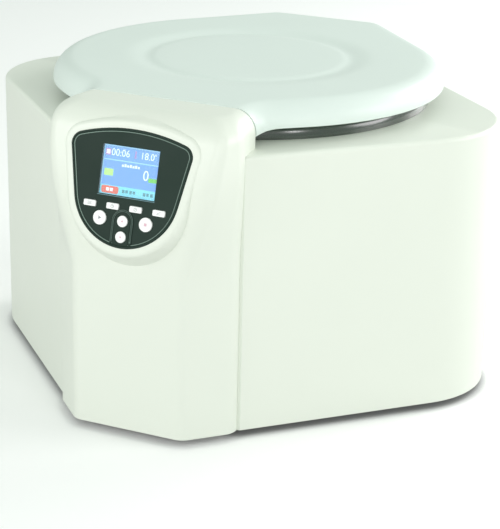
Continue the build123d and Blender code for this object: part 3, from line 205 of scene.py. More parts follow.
def thickened(thick):
    """Give the flat face in edit mode its thickness upwards and go back to object mode."""
    bpy.ops.mesh.extrude_region_move(TRANSFORM_OT_translate={"value": (0.0, 0.0, thick)})
    bpy.ops.mesh.select_all(action="SELECT")
    bpy.ops.mesh.normals_make_consistent(inside=False)
    bpy.ops.object.mode_set(mode="OBJECT")
    return bpy.context.object


def flat_plate(width, height, thick, corner=0.0):
    """Thin rectangular plate that stands on Z 0, with rounded corners where given."""
    clear_selection()
    bpy.ops.mesh.primitive_plane_add(size=1.0)
    bpy.context.object.scale = (width, height, 1.0)
    bpy.ops.object.transform_apply(location=False, rotation=False, scale=True)
    edit_all()
    if corner:
        bpy.ops.mesh.bevel(offset=corner, segments=6, affect="VERTICES")
        bpy.ops.mesh.select_all(action="SELECT")
    return thickened(thick)


def flat_disc(radius, thick, sides=40, inner=0.0):
    """Thin disc that stands on Z 0, or a ring where an inner radius is given."""
    clear_selection()
    bpy.ops.mesh.primitive_circle_add(vertices=sides, radius=radius, fill_type="NGON")
    edit_all()
    if inner:
        bpy.ops.mesh.inset(thickness=(radius - inner) * math.cos(math.pi / sides))
        bpy.ops.mesh.delete(type="FACE")
        bpy.ops.mesh.select_all(action="SELECT")
    return thickened(thick)


def joined(parts):
    """One object from several."""
    clear_selection()
    for part in parts:
        part.select_set(True)
    bpy.context.view_layer.objects.active = parts[0]
    if len(parts) > 1:
        bpy.ops.object.join()
    return bpy.context.object


def digits(body, height, thick):
    """Plain numbers as a thin mesh that stands on Z 0, centred on its own middle."""
    clear_selection()
    bpy.ops.object.text_add()
    text = bpy.context.object
    text.data.body = body
    text.data.size = height * FONT_TO_DIGIT
    text.data.extrude = thick / 2
    text.data.align_x = "CENTER"
    text.data.align_y = "CENTER"
    text.data.resolution_u = 4
    bpy.ops.object.convert(target="MESH")
    mesh = bpy.context.object
    raised = Matrix.Translation((0.0, 0.0, thick / 2))
    mesh.data.transform(raised @ Matrix.Diagonal((DIGIT_STRETCH, 1.0, 1.0, 1.0)))
    edit_all()
    bpy.ops.mesh.remove_doubles(threshold=POINT_MERGE)
    bpy.ops.object.mode_set(mode="OBJECT")
    return mesh


def merged_copy(node, degrees=30.0):
    """Copy of a CAD node with its triangles merged, shaded smooth over gentle edges."""
    clear_selection()
    copy = linked(node + "_skin", frame["nodes"][node].data.copy())
    pick(copy)
    edit_all()
    bpy.ops.mesh.remove_doubles(threshold=NODE_MERGE)
    bpy.ops.object.mode_set(mode="OBJECT")
    if copy.data.has_custom_normals:
        bpy.ops.mesh.customdata_custom_splitnormals_clear()
    bpy.ops.object.shade_smooth_by_angle(angle=math.radians(degrees))
    return copy


# ---- shader groups
def socket_kind(value):
    """Socket type that suits a default value."""
    if isinstance(value, (int, float)):
        return "NodeSocketFloat"
    return "NodeSocketColor" if len(value) == 4 else "NodeSocketVector"


def new_group(name, inputs, outputs):
    """Shader node group with named sockets; outputs maps a name to a socket type."""
    group = bpy.data.node_groups.new(name, "ShaderNodeTree")
    for label, value in inputs.items():
        socket = group.interface.new_socket(label, in_out="INPUT", socket_type=socket_kind(value))
        socket.default_value = value
    for label, kind in outputs.items():
        group.interface.new_socket(label, in_out="OUTPUT", socket_type=kind)
    return group, group.nodes.new("NodeGroupInput"), group.nodes.new("NodeGroupOutput")


def add_node(tree, kind, links=(), **settings):
    """Node with its settings; links maps an input's name or number to a socket or value."""
    node = tree.nodes.new(kind)
    for key, value in settings.items():
        setattr(node, key, value)
    for key, value in dict(links).items():
        if isinstance(value, bpy.types.NodeSocket):
            tree.links.new(value, node.inputs[key])
        else:
            node.inputs[key].default_value = value
    return node


def noise(tree, vector, scale, detail=2.0, roughness=0.5):
    """Noise texture's value output."""
    return add_node(tree, "ShaderNodeTexNoise", {
        "Vector": vector, "Scale": scale, "Detail": detail, "Roughness": roughness}).outputs["Fac"]


def spread(tree, value, low, high, to_low=0.0, to_high=1.0):
    """Map a value from one range to another."""
    return add_node(tree, "ShaderNodeMapRange", {
        "Value": value, "From Min": low, "From Max": high, "To Min": to_low, "To Max": to_high,
    }).outputs["Result"]


def arithmetic(tree, operation, first, second=0.0):
    """Math node; the second value is left unused where the operation takes one."""
    return add_node(tree, "ShaderNodeMath", {0: first, 1: second}, operation=operation).outputs[0]


def directions(tree, operation, first, second):
    """Vector math node that puts out a vector."""
    node = add_node(tree, "ShaderNodeVectorMath", {0: first, 1: second}, operation=operation)
    return node.outputs["Vector"]


def colour_mix(tree, factor, first, second):
    """Mix of two colours."""
    return add_node(tree, "ShaderNodeMix", {0: factor, 6: first, 7: second}, data_type="RGBA").outputs[2]


def surface_group(name, inputs):
    """Group that puts out colour, roughness and height, with its inputs, outputs and place."""
    outputs = {"Colour": "NodeSocketColor", "Roughness": "NodeSocketFloat", "Height": "NodeSocketFloat"}
    group, enter, leave = new_group(name, inputs, outputs)
    return group, enter.outputs, leave, group.nodes.new("ShaderNodeTexCoord").outputs["Object"]


def put_out(group, leave, tone, rough, height):
    """Link the three outputs of a surface group."""
    group.links.new(tone, leave.inputs["Colour"])
    group.links.new(rough, leave.inputs["Roughness"])
    group.links.new(height, leave.inputs["Height"])
    return group


def metal_tail(group, give, leave, place_of, lines, cloud_size):
    """Tone, roughness and height that drawn and turned metal share, from their fine lines."""
    cloud = spread(group, noise(group, place_of, cloud_size, 3.0), 0.35, 0.7)
    dark = arithmetic(group, "MULTIPLY", spread(group, lines, 0.35, 0.75), cloud)
    tone = colour_mix(group, dark, give["Colour"], give["Dark Colour"])
    rough = spread(group, lines, 0.3, 0.7, give["Smooth"], give["Rough"])
    return put_out(group, leave, tone, rough, lines)


def moulded_group():
    """Moulded or painted shell: slow drift of tone, wiped smudges and a fine pebbled skin."""
    group, give, leave, place_of = surface_group("moulded_skin", {
        "Colour": (0.8, 0.8, 0.8, 1.0), "Drift Colour": (0.7, 0.7, 0.7, 1.0), "Drift": 0.3,
        "Smooth": 0.3, "Rough": 0.45, "Pebble Size": 900.0})
    slow = spread(group, noise(group, place_of, 4.0, 3.0), 0.35, 0.65)
    amount = arithmetic(group, "MULTIPLY", slow, give["Drift"])
    tone = colour_mix(group, amount, give["Colour"], give["Drift Colour"])
    wiped = spread(group, noise(group, place_of, 22.0, 4.0, 0.6), 0.3, 0.7)
    rough = spread(group, wiped, 0.0, 1.0, give["Smooth"], give["Rough"])
    pebble = add_node(group, "ShaderNodeTexVoronoi", {
        "Vector": place_of, "Scale": give["Pebble Size"]}, feature="SMOOTH_F1").outputs["Distance"]
    return put_out(group, leave, tone, rough, pebble)


def drawn_group():
    """Drawn or brushed metal: fine lines along one direction, with a slow change of tone."""
    group, give, leave, place_of = surface_group("drawn_metal", {
        "Colour": (0.6, 0.6, 0.6, 1.0), "Dark Colour": (0.4, 0.4, 0.4, 1.0),
        "Stretch": (40.0, 900.0, 900.0), "Smooth": 0.22, "Rough": 0.42})
    stretched = directions(group, "MULTIPLY", place_of, give["Stretch"])
    lines = noise(group, stretched, 1.0, 3.0, 0.65)
    return metal_tail(group, give, leave, place_of, lines, 14.0)


def turned_group():
    """Turned or spun metal: fine rings round an upright axis, by radius and height."""
    group, give, leave, place_of = surface_group("turned_metal", {
        "Colour": (0.6, 0.6, 0.6, 1.0), "Dark Colour": (0.4, 0.4, 0.4, 1.0),
        "Centre": (0.0, 0.0, 0.0), "Ring Size": 900.0, "Smooth": 0.15, "Rough": 0.35})
    offset = directions(group, "SUBTRACT", place_of, give["Centre"])
    level = directions(group, "MULTIPLY", offset, (1.0, 1.0, 0.0))
    radius = add_node(group, "ShaderNodeVectorMath", {0: level}, operation="LENGTH").outputs["Value"]
    height = add_node(group, "ShaderNodeSeparateXYZ", {0: offset}).outputs["Z"]
    profile = add_node(group, "ShaderNodeCombineXYZ", {"X": radius, "Y": height}).outputs["Vector"]
    rings = noise(group, profile, give["Ring Size"])
    return metal_tail(group, give, leave, place_of, rings, 11.0)


def grain_group():
    """Cast, blasted or rubbery grain: speckle of tone and height at one size."""
    group, give, leave, place_of = surface_group("grain", {
        "Colour": (0.5, 0.5, 0.5, 1.0), "Speck Colour": (0.3, 0.3, 0.3, 1.0), "Grain Size": 500.0,
        "Amount": 0.5, "Smooth": 0.45, "Rough": 0.7})
    grain = noise(group, place_of, give["Grain Size"], 3.0, 0.6)
    patch = spread(group, noise(group, place_of, 18.0, 3.0), 0.35, 0.65)
    mask = arithmetic(group, "MULTIPLY", spread(group, grain, 0.4, 0.65), give["Amount"])
    tone = colour_mix(group, mask, give["Colour"], give["Speck Colour"])
    rough = spread(group, patch, 0.0, 1.0, give["Smooth"], give["Rough"])
    return put_out(group, leave, tone, rough, grain)


def pixel_group():
    """Screen pixels: a fine grid that dims a lit colour between the dots."""
    group, enter, leave = new_group(
        "screen_pixels",
        {"Colour": (0.2, 0.4, 0.8, 1.0), "Gap Colour": (0.1, 0.3, 0.6, 1.0), "Pitch": 0.0002},
        {"Colour": "NodeSocketColor"})
    place_of = group.nodes.new("ShaderNodeTexCoord").outputs["Object"]
    parts = add_node(group, "ShaderNodeSeparateXYZ", {0: place_of}).outputs
    gaps = []
    for axis in ("X", "Z"):
        fraction = arithmetic(group, "FRACT", arithmetic(
            group, "DIVIDE", parts[axis], enter.outputs["Pitch"]))
        gaps.append(arithmetic(group, "GREATER_THAN", fraction, 0.82))
    gap = arithmetic(group, "MAXIMUM", gaps[0], gaps[1])
    glow = spread(group, noise(group, place_of, 25.0, 1.0), 0.3, 0.7, 0.0, 0.35)
    mask = arithmetic(group, "MAXIMUM", arithmetic(group, "MULTIPLY", gap, 0.45), glow)
    group.links.new(colour_mix(group, mask, enter.outputs["Colour"], enter.outputs["Gap Colour"]),
                    leave.inputs["Colour"])
    return group


def trace_group():
    """Circuit board: fine tracks in a lighter green on the solder mask."""
    group, give, leave, place_of = surface_group("board_tracks", {
        "Colour": (0.02, 0.12, 0.05, 1.0), "Track Colour": (0.05, 0.28, 0.12, 1.0), "Track Size": 160.0})
    cells = add_node(group, "ShaderNodeTexVoronoi", {
        "Vector": place_of, "Scale": give["Track Size"]},
        feature="DISTANCE_TO_EDGE", distance="EUCLIDEAN").outputs["Distance"]
    tracks = spread(group, cells, 0.04, 0.09, 1.0, 0.0)
    tone = colour_mix(group, tracks, give["Colour"], give["Track Colour"])
    return put_out(group, leave, tone, spread(group, tracks, 0.0, 1.0, 0.35, 0.5), tracks)


def srgb(red, green, blue):
    """Linear colour from a screen colour in 0 to 255."""
    def linear(value):
        value /= 255.0
        return value / 12.92 if value <= 0.04045 else ((value + 0.055) / 1.055) ** 2.4
    return (linear(red), linear(green), linear(blue), 1.0)


def tinted(colour, share):
    """The colour at a share of its strength."""
    return (colour[0] * share, colour[1] * share, colour[2] * share, 1.0)


GROUPS = {}
FINISHES = {}


def finish(name, group, values, bump=0.0, depth=0.0002, **shader):
    """Material that takes colour, roughness and relief from a group, and the rest plain.

    The values stand in the order of the group's inputs; inputs past the last keep their defaults.
    """
    material = bpy.data.materials.new(name)
    material.use_nodes = True
    tree = material.node_tree
    surface = tree.nodes["Principled BSDF"]
    effect = tree.nodes.new("ShaderNodeGroup")
    effect.node_tree = GROUPS[group]
    for socket, value in zip(effect.inputs, values):
        socket.default_value = value
    for label, value in shader.items():
        surface.inputs[label.replace("_", " ")].default_value = value
    tree.links.new(effect.outputs["Colour"], surface.inputs["Base Color"])
    if "Roughness" in effect.outputs:
        tree.links.new(effect.outputs["Roughness"], surface.inputs["Roughness"])
    if bump:
        relief = add_node(tree, "ShaderNodeBump", {
            "Strength": bump, "Distance": depth, "Height": effect.outputs["Height"]})
        tree.links.new(relief.outputs["Normal"], surface.inputs["Normal"])
    FINISHES[name] = material
    return material


def lit_finish(name, colour, gap, strength):
    """Material of a lit screen colour, with the pixel grid."""
    material = finish(name, "screen_pixels", (colour, gap), Roughness=0.35)
    tree = material.node_tree
    surface = tree.nodes["Principled BSDF"]
    effect = next(node for node in tree.nodes if node.type == "GROUP")
    tree.links.new(effect.outputs["Colour"], surface.inputs["Emission Color"])
    surface.inputs["Emission Strength"].default_value = strength
    return material


# ---- settings
def colour_setting(name, description, default):
    """Colour in the sidebar."""
    return bpy.props.FloatVectorProperty(
        name=name, description=description, subtype="COLOR", size=3, default=default[:3])


def length_setting(name, description, default):
    """Length in the sidebar, in metres."""
    return bpy.props.FloatProperty(
        name=name, description=description, default=default, subtype="DISTANCE", unit="LENGTH")


def power_setting(name, description, default):
    """Lamp power in the sidebar, in watts."""
    return bpy.props.FloatProperty(name=name, description=description, default=default, unit="POWER")


class CentrifugeColours(bpy.types.PropertyGroup):
    """Colours a user may change"""
    shell: colour_setting("Shell", "Painted housing and front cover", srgb(237, 242, 231))
    lid: colour_setting("Lid", "Moulded lid", srgb(229, 240, 234))
    panel: colour_setting("Panel", "Key panel, bezel and arrow key surround", srgb(38, 54, 47))
    ring: colour_setting("Chamber ring", "Gloss ring under the lid", srgb(40, 55, 44))
    keys: colour_setting("Keys", "Moulded keys", srgb(253, 254, 253))
    screen: colour_setting("Screen", "Blue field of the screen", srgb(98, 163, 243))


class CentrifugeSizes(bpy.types.PropertyGroup):
    """Sizes a user may change"""
    mark_thick: length_setting("Mark thickness", "Thickness of the printed marks on keys and switch", 0.00006)
    mark_size: length_setting("Mark size", "Height of the mark on a round key", 0.0042)
    screen_layer: length_setting("Screen layer", "Thickness of one layer of the screen's picture", 0.0001)
    screen_count: bpy.props.IntProperty(
        name="Count shown", description="Number on the screen", default=0, min=0, max=9)


class CentrifugeStudio(bpy.types.PropertyGroup):
    """Light and camera a user may change"""
    front_power: power_setting("Front lamp", "Power of the soft lamp in front", 13.5)
    left_power: power_setting("Left lamp", "Power of the soft lamp at the front left", 20.0)
    glint_power: power_setting("Glint lamp", "Power of the small lamp that draws the highlights", 4.5)
    right_power: power_setting("Right lamp", "Power of the soft lamp at the right", 27.0)
    back_power: power_setting("Back lamp", "Power of the soft lamp behind at the right", 46.0)
    fill: bpy.props.FloatProperty(
        name="Fill", description="Strength of the even light all round", default=0.62)
    fill_colour: colour_setting("Fill colour", "Colour of the even light", (0.90, 1.0, 0.93))
    lens: bpy.props.FloatProperty(
        name="Lens", description="Focal length of the camera", default=119.97, subtype="DISTANCE_CAMERA")


# ---- pieces
def colour_of(name):
    """A user's colour with full alpha."""
    return (*getattr(bpy.context.scene.centrifuge_colours, name), 1.0)


def paint_slot(slot, material):
    """Give every CAD node of a record slot its finish."""
    for entry in frame["record"]["subparts"]:
        if entry["material_slot"] == slot:
            data = frame["nodes"][entry["node"]].data
            data.materials.clear()
            data.materials.append(material)


class CENTRIFUGE_OT_finishes(bpy.types.Operator):
    """Makes the shader groups and the finishes of every CAD node"""
    bl_idname = "centrifuge.finishes"
    bl_label = "Finishes"

    def execute(self, context):
        for make in (moulded_group, drawn_group, turned_group, grain_group, pixel_group, trace_group):
            made = make()
            GROUPS[made.name] = made
        shell, lid, panel = colour_of("shell"), colour_of("lid"), colour_of("panel")
        ring, keys, screen = colour_of("ring"), colour_of("keys"), colour_of("screen")

        # moulded_skin takes colour, drift colour, drift, smooth, rough and pebble size
        finish("shell_white", "moulded_skin", (shell, tinted(shell, 0.965), 0.5, 0.34, 0.44, 700.0),
               bump=0.05, depth=0.00006, Coat_Weight=0.15, Coat_Roughness=0.3)
        finish("lid_white", "moulded_skin", (lid, tinted(lid, 0.965), 0.5, 0.36, 0.46, 620.0),
               bump=0.05, depth=0.00006, Coat_Weight=0.12, Coat_Roughness=0.35)
        finish("grey_plastic", "moulded_skin",
               (srgb(150, 154, 152), srgb(128, 132, 130), 0.6, 0.45, 0.6, 1400.0), bump=0.25, depth=0.0001)
        finish("panel_black", "moulded_skin", (panel, tinted(panel, 1.25), 0.5, 0.36, 0.5, 1700.0),
               bump=0.2, depth=0.0001, Specular_IOR_Level=0.14)
        finish("key_white", "moulded_skin", (keys, tinted(keys, 0.97), 0.5, 0.3, 0.42, 2200.0),
               bump=0.12, depth=0.00005)
        finish("ring_black", "moulded_skin", (ring, tinted(ring, 0.7), 0.6, 0.16, 0.3, 500.0),
               bump=0.06, depth=0.0001, Coat_Weight=1.0, Coat_Roughness=0.2, Coat_IOR=1.7)
        finish("black_plastic", "moulded_skin",
               (srgb(38, 40, 40), srgb(56, 58, 58), 0.5, 0.4, 0.58, 1500.0), bump=0.3, depth=0.0001)
        glass = finish("clear_window", "moulded_skin",
                       (srgb(214, 232, 246), srgb(206, 226, 242), 0.3, 0.05, 0.12, 300.0),
                       Alpha=0.12, IOR=1.45)
        glass.surface_render_method = "BLENDED"

        # grain takes colour, speck colour, grain size, amount, smooth and rough
        finish("black_rubber", "grain", (srgb(34, 35, 35), srgb(62, 62, 60), 900.0, 0.5, 0.62, 0.85),
               bump=0.4, depth=0.0001)
        finish("sleeve_grey", "grain", (srgb(122, 128, 134), srgb(96, 102, 108), 1100.0, 0.5, 0.5, 0.66),
               bump=0.25, depth=0.0001)
        finish("cast_alloy", "grain", (srgb(196, 199, 202), srgb(160, 163, 166), 650.0, 0.6, 0.36, 0.55),
               bump=0.35, depth=0.00012, Metallic=0.6)

        # drawn_metal takes colour, dark colour, stretch, smooth and rough
        finish("core_steel", "drawn_metal",
               (srgb(110, 110, 112), srgb(50, 50, 52), (20.0, 20.0, 2000.0), 0.35, 0.6),
               bump=0.6, depth=0.0002, Metallic=0.85)
        finish("zinc_steel", "drawn_metal",
               (srgb(190, 193, 194), srgb(142, 146, 148), (60.0, 700.0, 700.0), 0.28, 0.46),
               bump=0.12, depth=0.0001, Metallic=1.0)
        finish("polished_steel", "drawn_metal",
               (srgb(206, 208, 210), srgb(166, 168, 170), (500.0, 500.0, 80.0), 0.1, 0.26),
               bump=0.06, depth=0.0001, Metallic=1.0)
        finish("brass_blades", "drawn_metal",
               (srgb(214, 186, 120), srgb(160, 132, 76), (900.0, 80.0, 900.0), 0.2, 0.38),
               bump=0.1, depth=0.00005, Metallic=1.0)

        # turned_metal takes colour, dark colour, centre, ring size, smooth and rough
        finish("stainless", "turned_metal",
               (srgb(224, 227, 226), srgb(196, 200, 200), SPIN_CENTRE, 750.0, 0.24, 0.4),
               bump=0.06, depth=0.0001, Metallic=0.9)
        finish("board_green", "board_tracks", (srgb(24, 88, 50), srgb(52, 132, 82)), bump=0.3, depth=0.00005)
        lit_finish("screen", screen, tinted(screen, 0.86), 0.3)
        for slot_name, material in FINISHES.items():
            paint_slot(slot_name, material)
        return {"FINISHED"}


def arc(centre, radius, start, end):
    """Points along an arc, given in degrees, with the outward normal of each."""
    steps = max(2, math.ceil(abs(math.radians(end - start)) * radius / LID_PITCH))
    turns = [math.radians(start + (end - start) * i / steps) for i in range(steps + 1)]
    return [(Vector((centre[0] + radius * math.cos(turn), centre[1] + radius * math.sin(turn))),
             Vector((math.cos(turn), math.sin(turn)))) for turn in turns]


def lid_plan():
    """Right half of the lid's outline round the spin axis, front corner to rear middle, with its normals."""
    neck_x = NECK_HALF_WIDTH + NECK_R
    neck_y = -math.sqrt((LID_R + NECK_R) ** 2 - neck_x ** 2)
    join = math.degrees(math.atan2(neck_y, neck_x))
    far = math.hypot(REAR_HALF_WIDTH, REAR_Y)
    leave = math.degrees(math.atan2(REAR_Y, REAR_HALF_WIDTH) - math.acos(LID_R / far))
    side = Vector((math.cos(math.radians(leave + 90)), math.sin(math.radians(leave + 90))))
    cut = REAR_CORNER_R * math.tan(math.radians((90 - leave) / 2))
    corner = Vector((REAR_HALF_WIDTH, REAR_Y))
    centre = corner - side * cut + Vector((-side.y, side.x)) * REAR_CORNER_R
    line = [(Vector((NECK_HALF_WIDTH, SEAM_Y)), Vector((1.0, 0.0)))]
    line += [(spot, -normal) for spot, normal in arc((neck_x, neck_y), NECK_R, 180.0, 180.0 + join)]
    line += arc((0.0, 0.0), LID_R, join, leave)[1:]
    start = line[-1][0]
    stop = corner - side * cut
    count = math.ceil((stop - start).length / LID_PITCH)
    line += [(start.lerp(stop, i / count), line[-1][1]) for i in range(1, count)]
    line += arc(centre, REAR_CORNER_R, leave, 90.0)
    half_width = line[-1][0].x
    count = math.ceil(half_width / LID_PITCH)
    line += [(Vector((half_width * (1 - i / count), REAR_Y)), Vector((0.0, 1.0)))
             for i in range(1, count + 1)]
    return line


def ease(share):
    """Smooth step from 0 to 1."""
    share = min(1.0, max(0.0, share))
    return share * share * (3 - 2 * share)


def lid_skin():
    """Outer skin of the lid: a flat top with a dished middle, a full shoulder and a lip at the seam."""
    half = lid_plan()

    def top_at(y):
        return LID_TOP - (LID_TOP - SEAM_TOP) * max(0.0, (FALL_Y - y) / (FALL_Y - SEAM_Y)) ** 2

    def foot_at(y):
        return LID_FOOT - (LID_FOOT - LIP_FOOT) * ease((LIP_Y - y) / (LIP_Y - SEAM_Y))

    def ring(inset, back=0.0):
        right = [spot - normal * inset for spot, normal in half]
        left = [Vector((-spot.x, spot.y)) for spot in right[-2:0:-1]]
        width = NECK_HALF_WIDTH - inset
        front = [Vector((-width + 2 * width * i / LID_FRONT_STEPS, SEAM_Y + back))
                 for i in range(LID_FRONT_STEPS)]
        return right + left + front

    def round_ring(spots, radius):
        return [spot.normalized() * radius for spot in spots]

    edge = ring(0.0)
    cavity, inner = round_ring(edge, CAVITY_R), round_ring(edge, LIP_INNER_R)
    rows = [[(*spot, CAVITY_TOP) for spot in cavity],
            [(*spot, LID_FOOT) for spot in cavity],
            [(*spot, LID_FOOT) for spot in inner],
            [(*spot, foot_at(spot.y)) for spot in inner],
            [(*spot, foot_at(spot.y)) for spot in ring(EDGE_R)],
            [(*spot, foot_at(spot.y) + EDGE_R) for spot in edge]]
    for step in range(SHOULDER_STEPS + 1):
        turn = math.radians(90 * step / SHOULDER_STEPS)
        inset = SHOULDER_R * (1 - math.cos(turn))
        drop = SHOULDER_R * (1 - math.sin(turn))
        back = SEAM_EDGE_R * (1 - math.sqrt(1 - max(0.0, 1 - drop / SEAM_EDGE_R) ** 2))
        rows.append([(*spot, top_at(spot.y) - drop) for spot in ring(inset, back)])
    shoulder = ring(SHOULDER_R, SEAM_EDGE_R)
    dish_edge = round_ring(shoulder, DISH[0][0])
    for step in range(1, TOP_STEPS):
        rows.append([(*spot, top_at(spot.y)) for spot in
                     (a.lerp(b, step / TOP_STEPS) for a, b in zip(shoulder, dish_edge))])
    for radius, depth in DISH:
        rows.append([(*spot, LID_TOP - depth) for spot in round_ring(shoulder, radius)])
    return stacked(rows, "lid_shell_skin", 38.0, capped=True)


def made_piece(mesh, name, degrees):
    """Object from a bmesh, with its faces turned outwards and smooth over gentle edges."""
    bmesh.ops.recalc_face_normals(mesh, faces=mesh.faces)
    data = bpy.data.meshes.new(name)
    mesh.to_mesh(data)
    mesh.free()
    piece = linked(name, data)
    smooth(piece, degrees)
    return piece


def stacked(rows, name, degrees, capped):
    """Skin through closed rows of points round the spin axis, with end caps or closed on itself."""
    mesh = bmesh.new()
    grid = [[mesh.verts.new((x, y + SPIN_CENTRE.y, z)) for x, y, z in row] for row in rows]
    count = len(rows[0])
    pairs = list(zip(grid, grid[1:])) + ([] if capped else [(grid[-1], grid[0])])
    for low, high in pairs:
        for i in range(count):
            mesh.faces.new((low[i], low[(i + 1) % count], high[(i + 1) % count], high[i]))
    if capped:
        mesh.faces.new(grid[-1])
        mesh.faces.new(grid[0][::-1])
    bmesh.ops.remove_doubles(mesh, verts=mesh.verts, dist=POINT_MERGE)
    bmesh.ops.dissolve_degenerate(mesh, dist=POINT_MERGE, edges=mesh.edges)
    return made_piece(mesh, name, degrees)


def ring_skin():
    """Chamber ring with a crowned outer face, turned round the spin axis."""
    foot, top = reach("chamber_ring", Vector((0.0, 0.0, 1.0)))
    vertices = frame["nodes"]["chamber_ring"].data.vertices
    places = [(vertex.co.xy - SPIN_CENTRE.xy).length for vertex in vertices]
    inner, outer = min(places), max(places)
    profile = [(inner, foot), (outer - RING_EDGE_R, foot), (outer, foot + RING_EDGE_R)]
    for step in range(1, CROWN_STEPS + 1):
        turn = math.radians(90 * step / CROWN_STEPS)
        profile.append((outer - CROWN_LEAN * (1 - math.cos(turn)),
                        foot + RING_EDGE_R + (top - foot - RING_EDGE_R) * math.sin(turn)))
    profile.append((inner, top))
    turns = [math.tau * i / RING_SIDES for i in range(RING_SIDES)]
    rows = [[(radius * math.cos(turn), radius * math.sin(turn), height) for turn in turns]
            for radius, height in profile]
    return stacked(rows, "chamber_ring_skin", 40.0, capped=False)


class CENTRIFUGE_OT_shells(bpy.types.Operator):
    """Puts one smooth skin over each large moulded shell"""
    bl_idname = "centrifuge.shells"
    bl_label = "Shells"

    def execute(self, context):
        own = {"lid_shell": lid_skin, "chamber_ring": ring_skin}
        for node, body, slot_name in (
                ("housing", "base", "shell_white"), ("front_cover", "base", "shell_white"),
                ("lid_shell", "lid", "lid_white"), ("chamber_ring", "base", "ring_black")):
            skin = own[node]() if node in own else merged_copy(node)
            finish_piece(skin, node + "_skin", body, FINISHES[slot_name])
            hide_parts(node)
        return {"FINISHED"}


def window():
    """Left, right, lower and upper edge of the display window on the panel."""
    return (*reach("display_window", ACROSS), *reach("display_window", UPWARDS))


def on_screen(part, across, upwards, layer):
    """Place a flat part on the screen; across and upwards run from 0 to 1 over the window."""
    left, right, low, high = window()
    step = bpy.context.scene.centrifuge_sizes.screen_layer
    rise = reach("display_module", OUTWARDS)[1] + layer * step + SCREEN_LIFT
    place(part, panel_place(left + (right - left) * across, low + (high - low) * upwards, rise))
    return part


def screen_block(layer, left, right, low, high, corner=0.0):
    """Rectangle of the screen's picture, given by shares of the window."""
    first, last, foot, top = window()
    step = bpy.context.scene.centrifuge_sizes.screen_layer
    block = flat_plate((right - left) * (last - first), (high - low) * (top - foot), step, corner)
    return on_screen(block, (left + right) / 2, (low + high) / 2, layer)


# Colour, colour between the pixels and strength of each lit finish
SCREEN_COLOURS = {
    "screen_white": ((232, 244, 252), (208, 230, 248), 0.5),
    "screen_pale": ((150, 212, 248), (138, 200, 240), 0.4),
    "screen_strip": ((104, 168, 232), (94, 156, 222), 0.3),
    "screen_cyan": ((120, 220, 240), (108, 206, 230), 0.4),
    "screen_lime": ((184, 240, 120), (168, 226, 108), 0.4),
    "screen_green": ((100, 204, 30), (88, 188, 26), 0.4),
    "screen_orange": ((232, 84, 30), (214, 74, 26), 0.35),
    "screen_teal": ((40, 140, 150), (36, 128, 138), 0.3),
    "screen_rose": ((190, 120, 190), (180, 110, 180), 0.35),
}

# Finish, layer and the left, right, lower and upper share of each block, with a corner radius or none
SCREEN_BLOCKS = {
    "screen_field": ("screen", 0, [(0.0, 1.0, 0.0, 1.0)]),
    "screen_top_strip": ("screen_strip", 1, [(0.02, 1.0, 0.73, 0.975)]),
    "screen_border": ("screen_pale", 1, [
        (0.0, 0.022, 0.18, 1.0), (0.022, 1.0, 0.975, 1.0), (0.022, 1.0, 0.688, 0.712)]),
    "screen_bottom_strip": ("screen_cyan", 1, [(0.0, 1.0, 0.0, 0.185)]),
    "screen_left_block": ("screen_lime", 1, [(0.045, 0.205, 0.375, 0.515)]),
    "screen_right_block": ("screen_green", 1, [(0.835, 0.985, 0.35, 0.435)]),
    "screen_tab": ("screen_orange", 2, [(0.03, 0.335, 0.02, 0.17, TAB_CORNER_R)]),
    "screen_icon_frame": ("screen_rose", 2, [(0.035, 0.125, 0.79, 0.915)]),
    "screen_icon": ("screen_white", 3, [(0.048, 0.112, 0.81, 0.895)]),
    "screen_caption": ("screen_white", 2, [
        (0.345 + 0.047 * i, 0.378 + 0.047 * i, 0.585, 0.585 + (0.062 if i % 2 else 0.045))
        for i in range(7)]),
    "screen_tab_mark": ("screen_white", 3, [(0.115, 0.170, 0.065, 0.130), (0.185, 0.235, 0.065, 0.130)]),
    "screen_labels": ("screen_teal", 2, [
        (left, left + 0.045, 0.060 + 0.008 * (i % 2), 0.128)
        for i, left in enumerate((0.40, 0.46, 0.53, 0.59, 0.77, 0.83, 0.90))]),
}


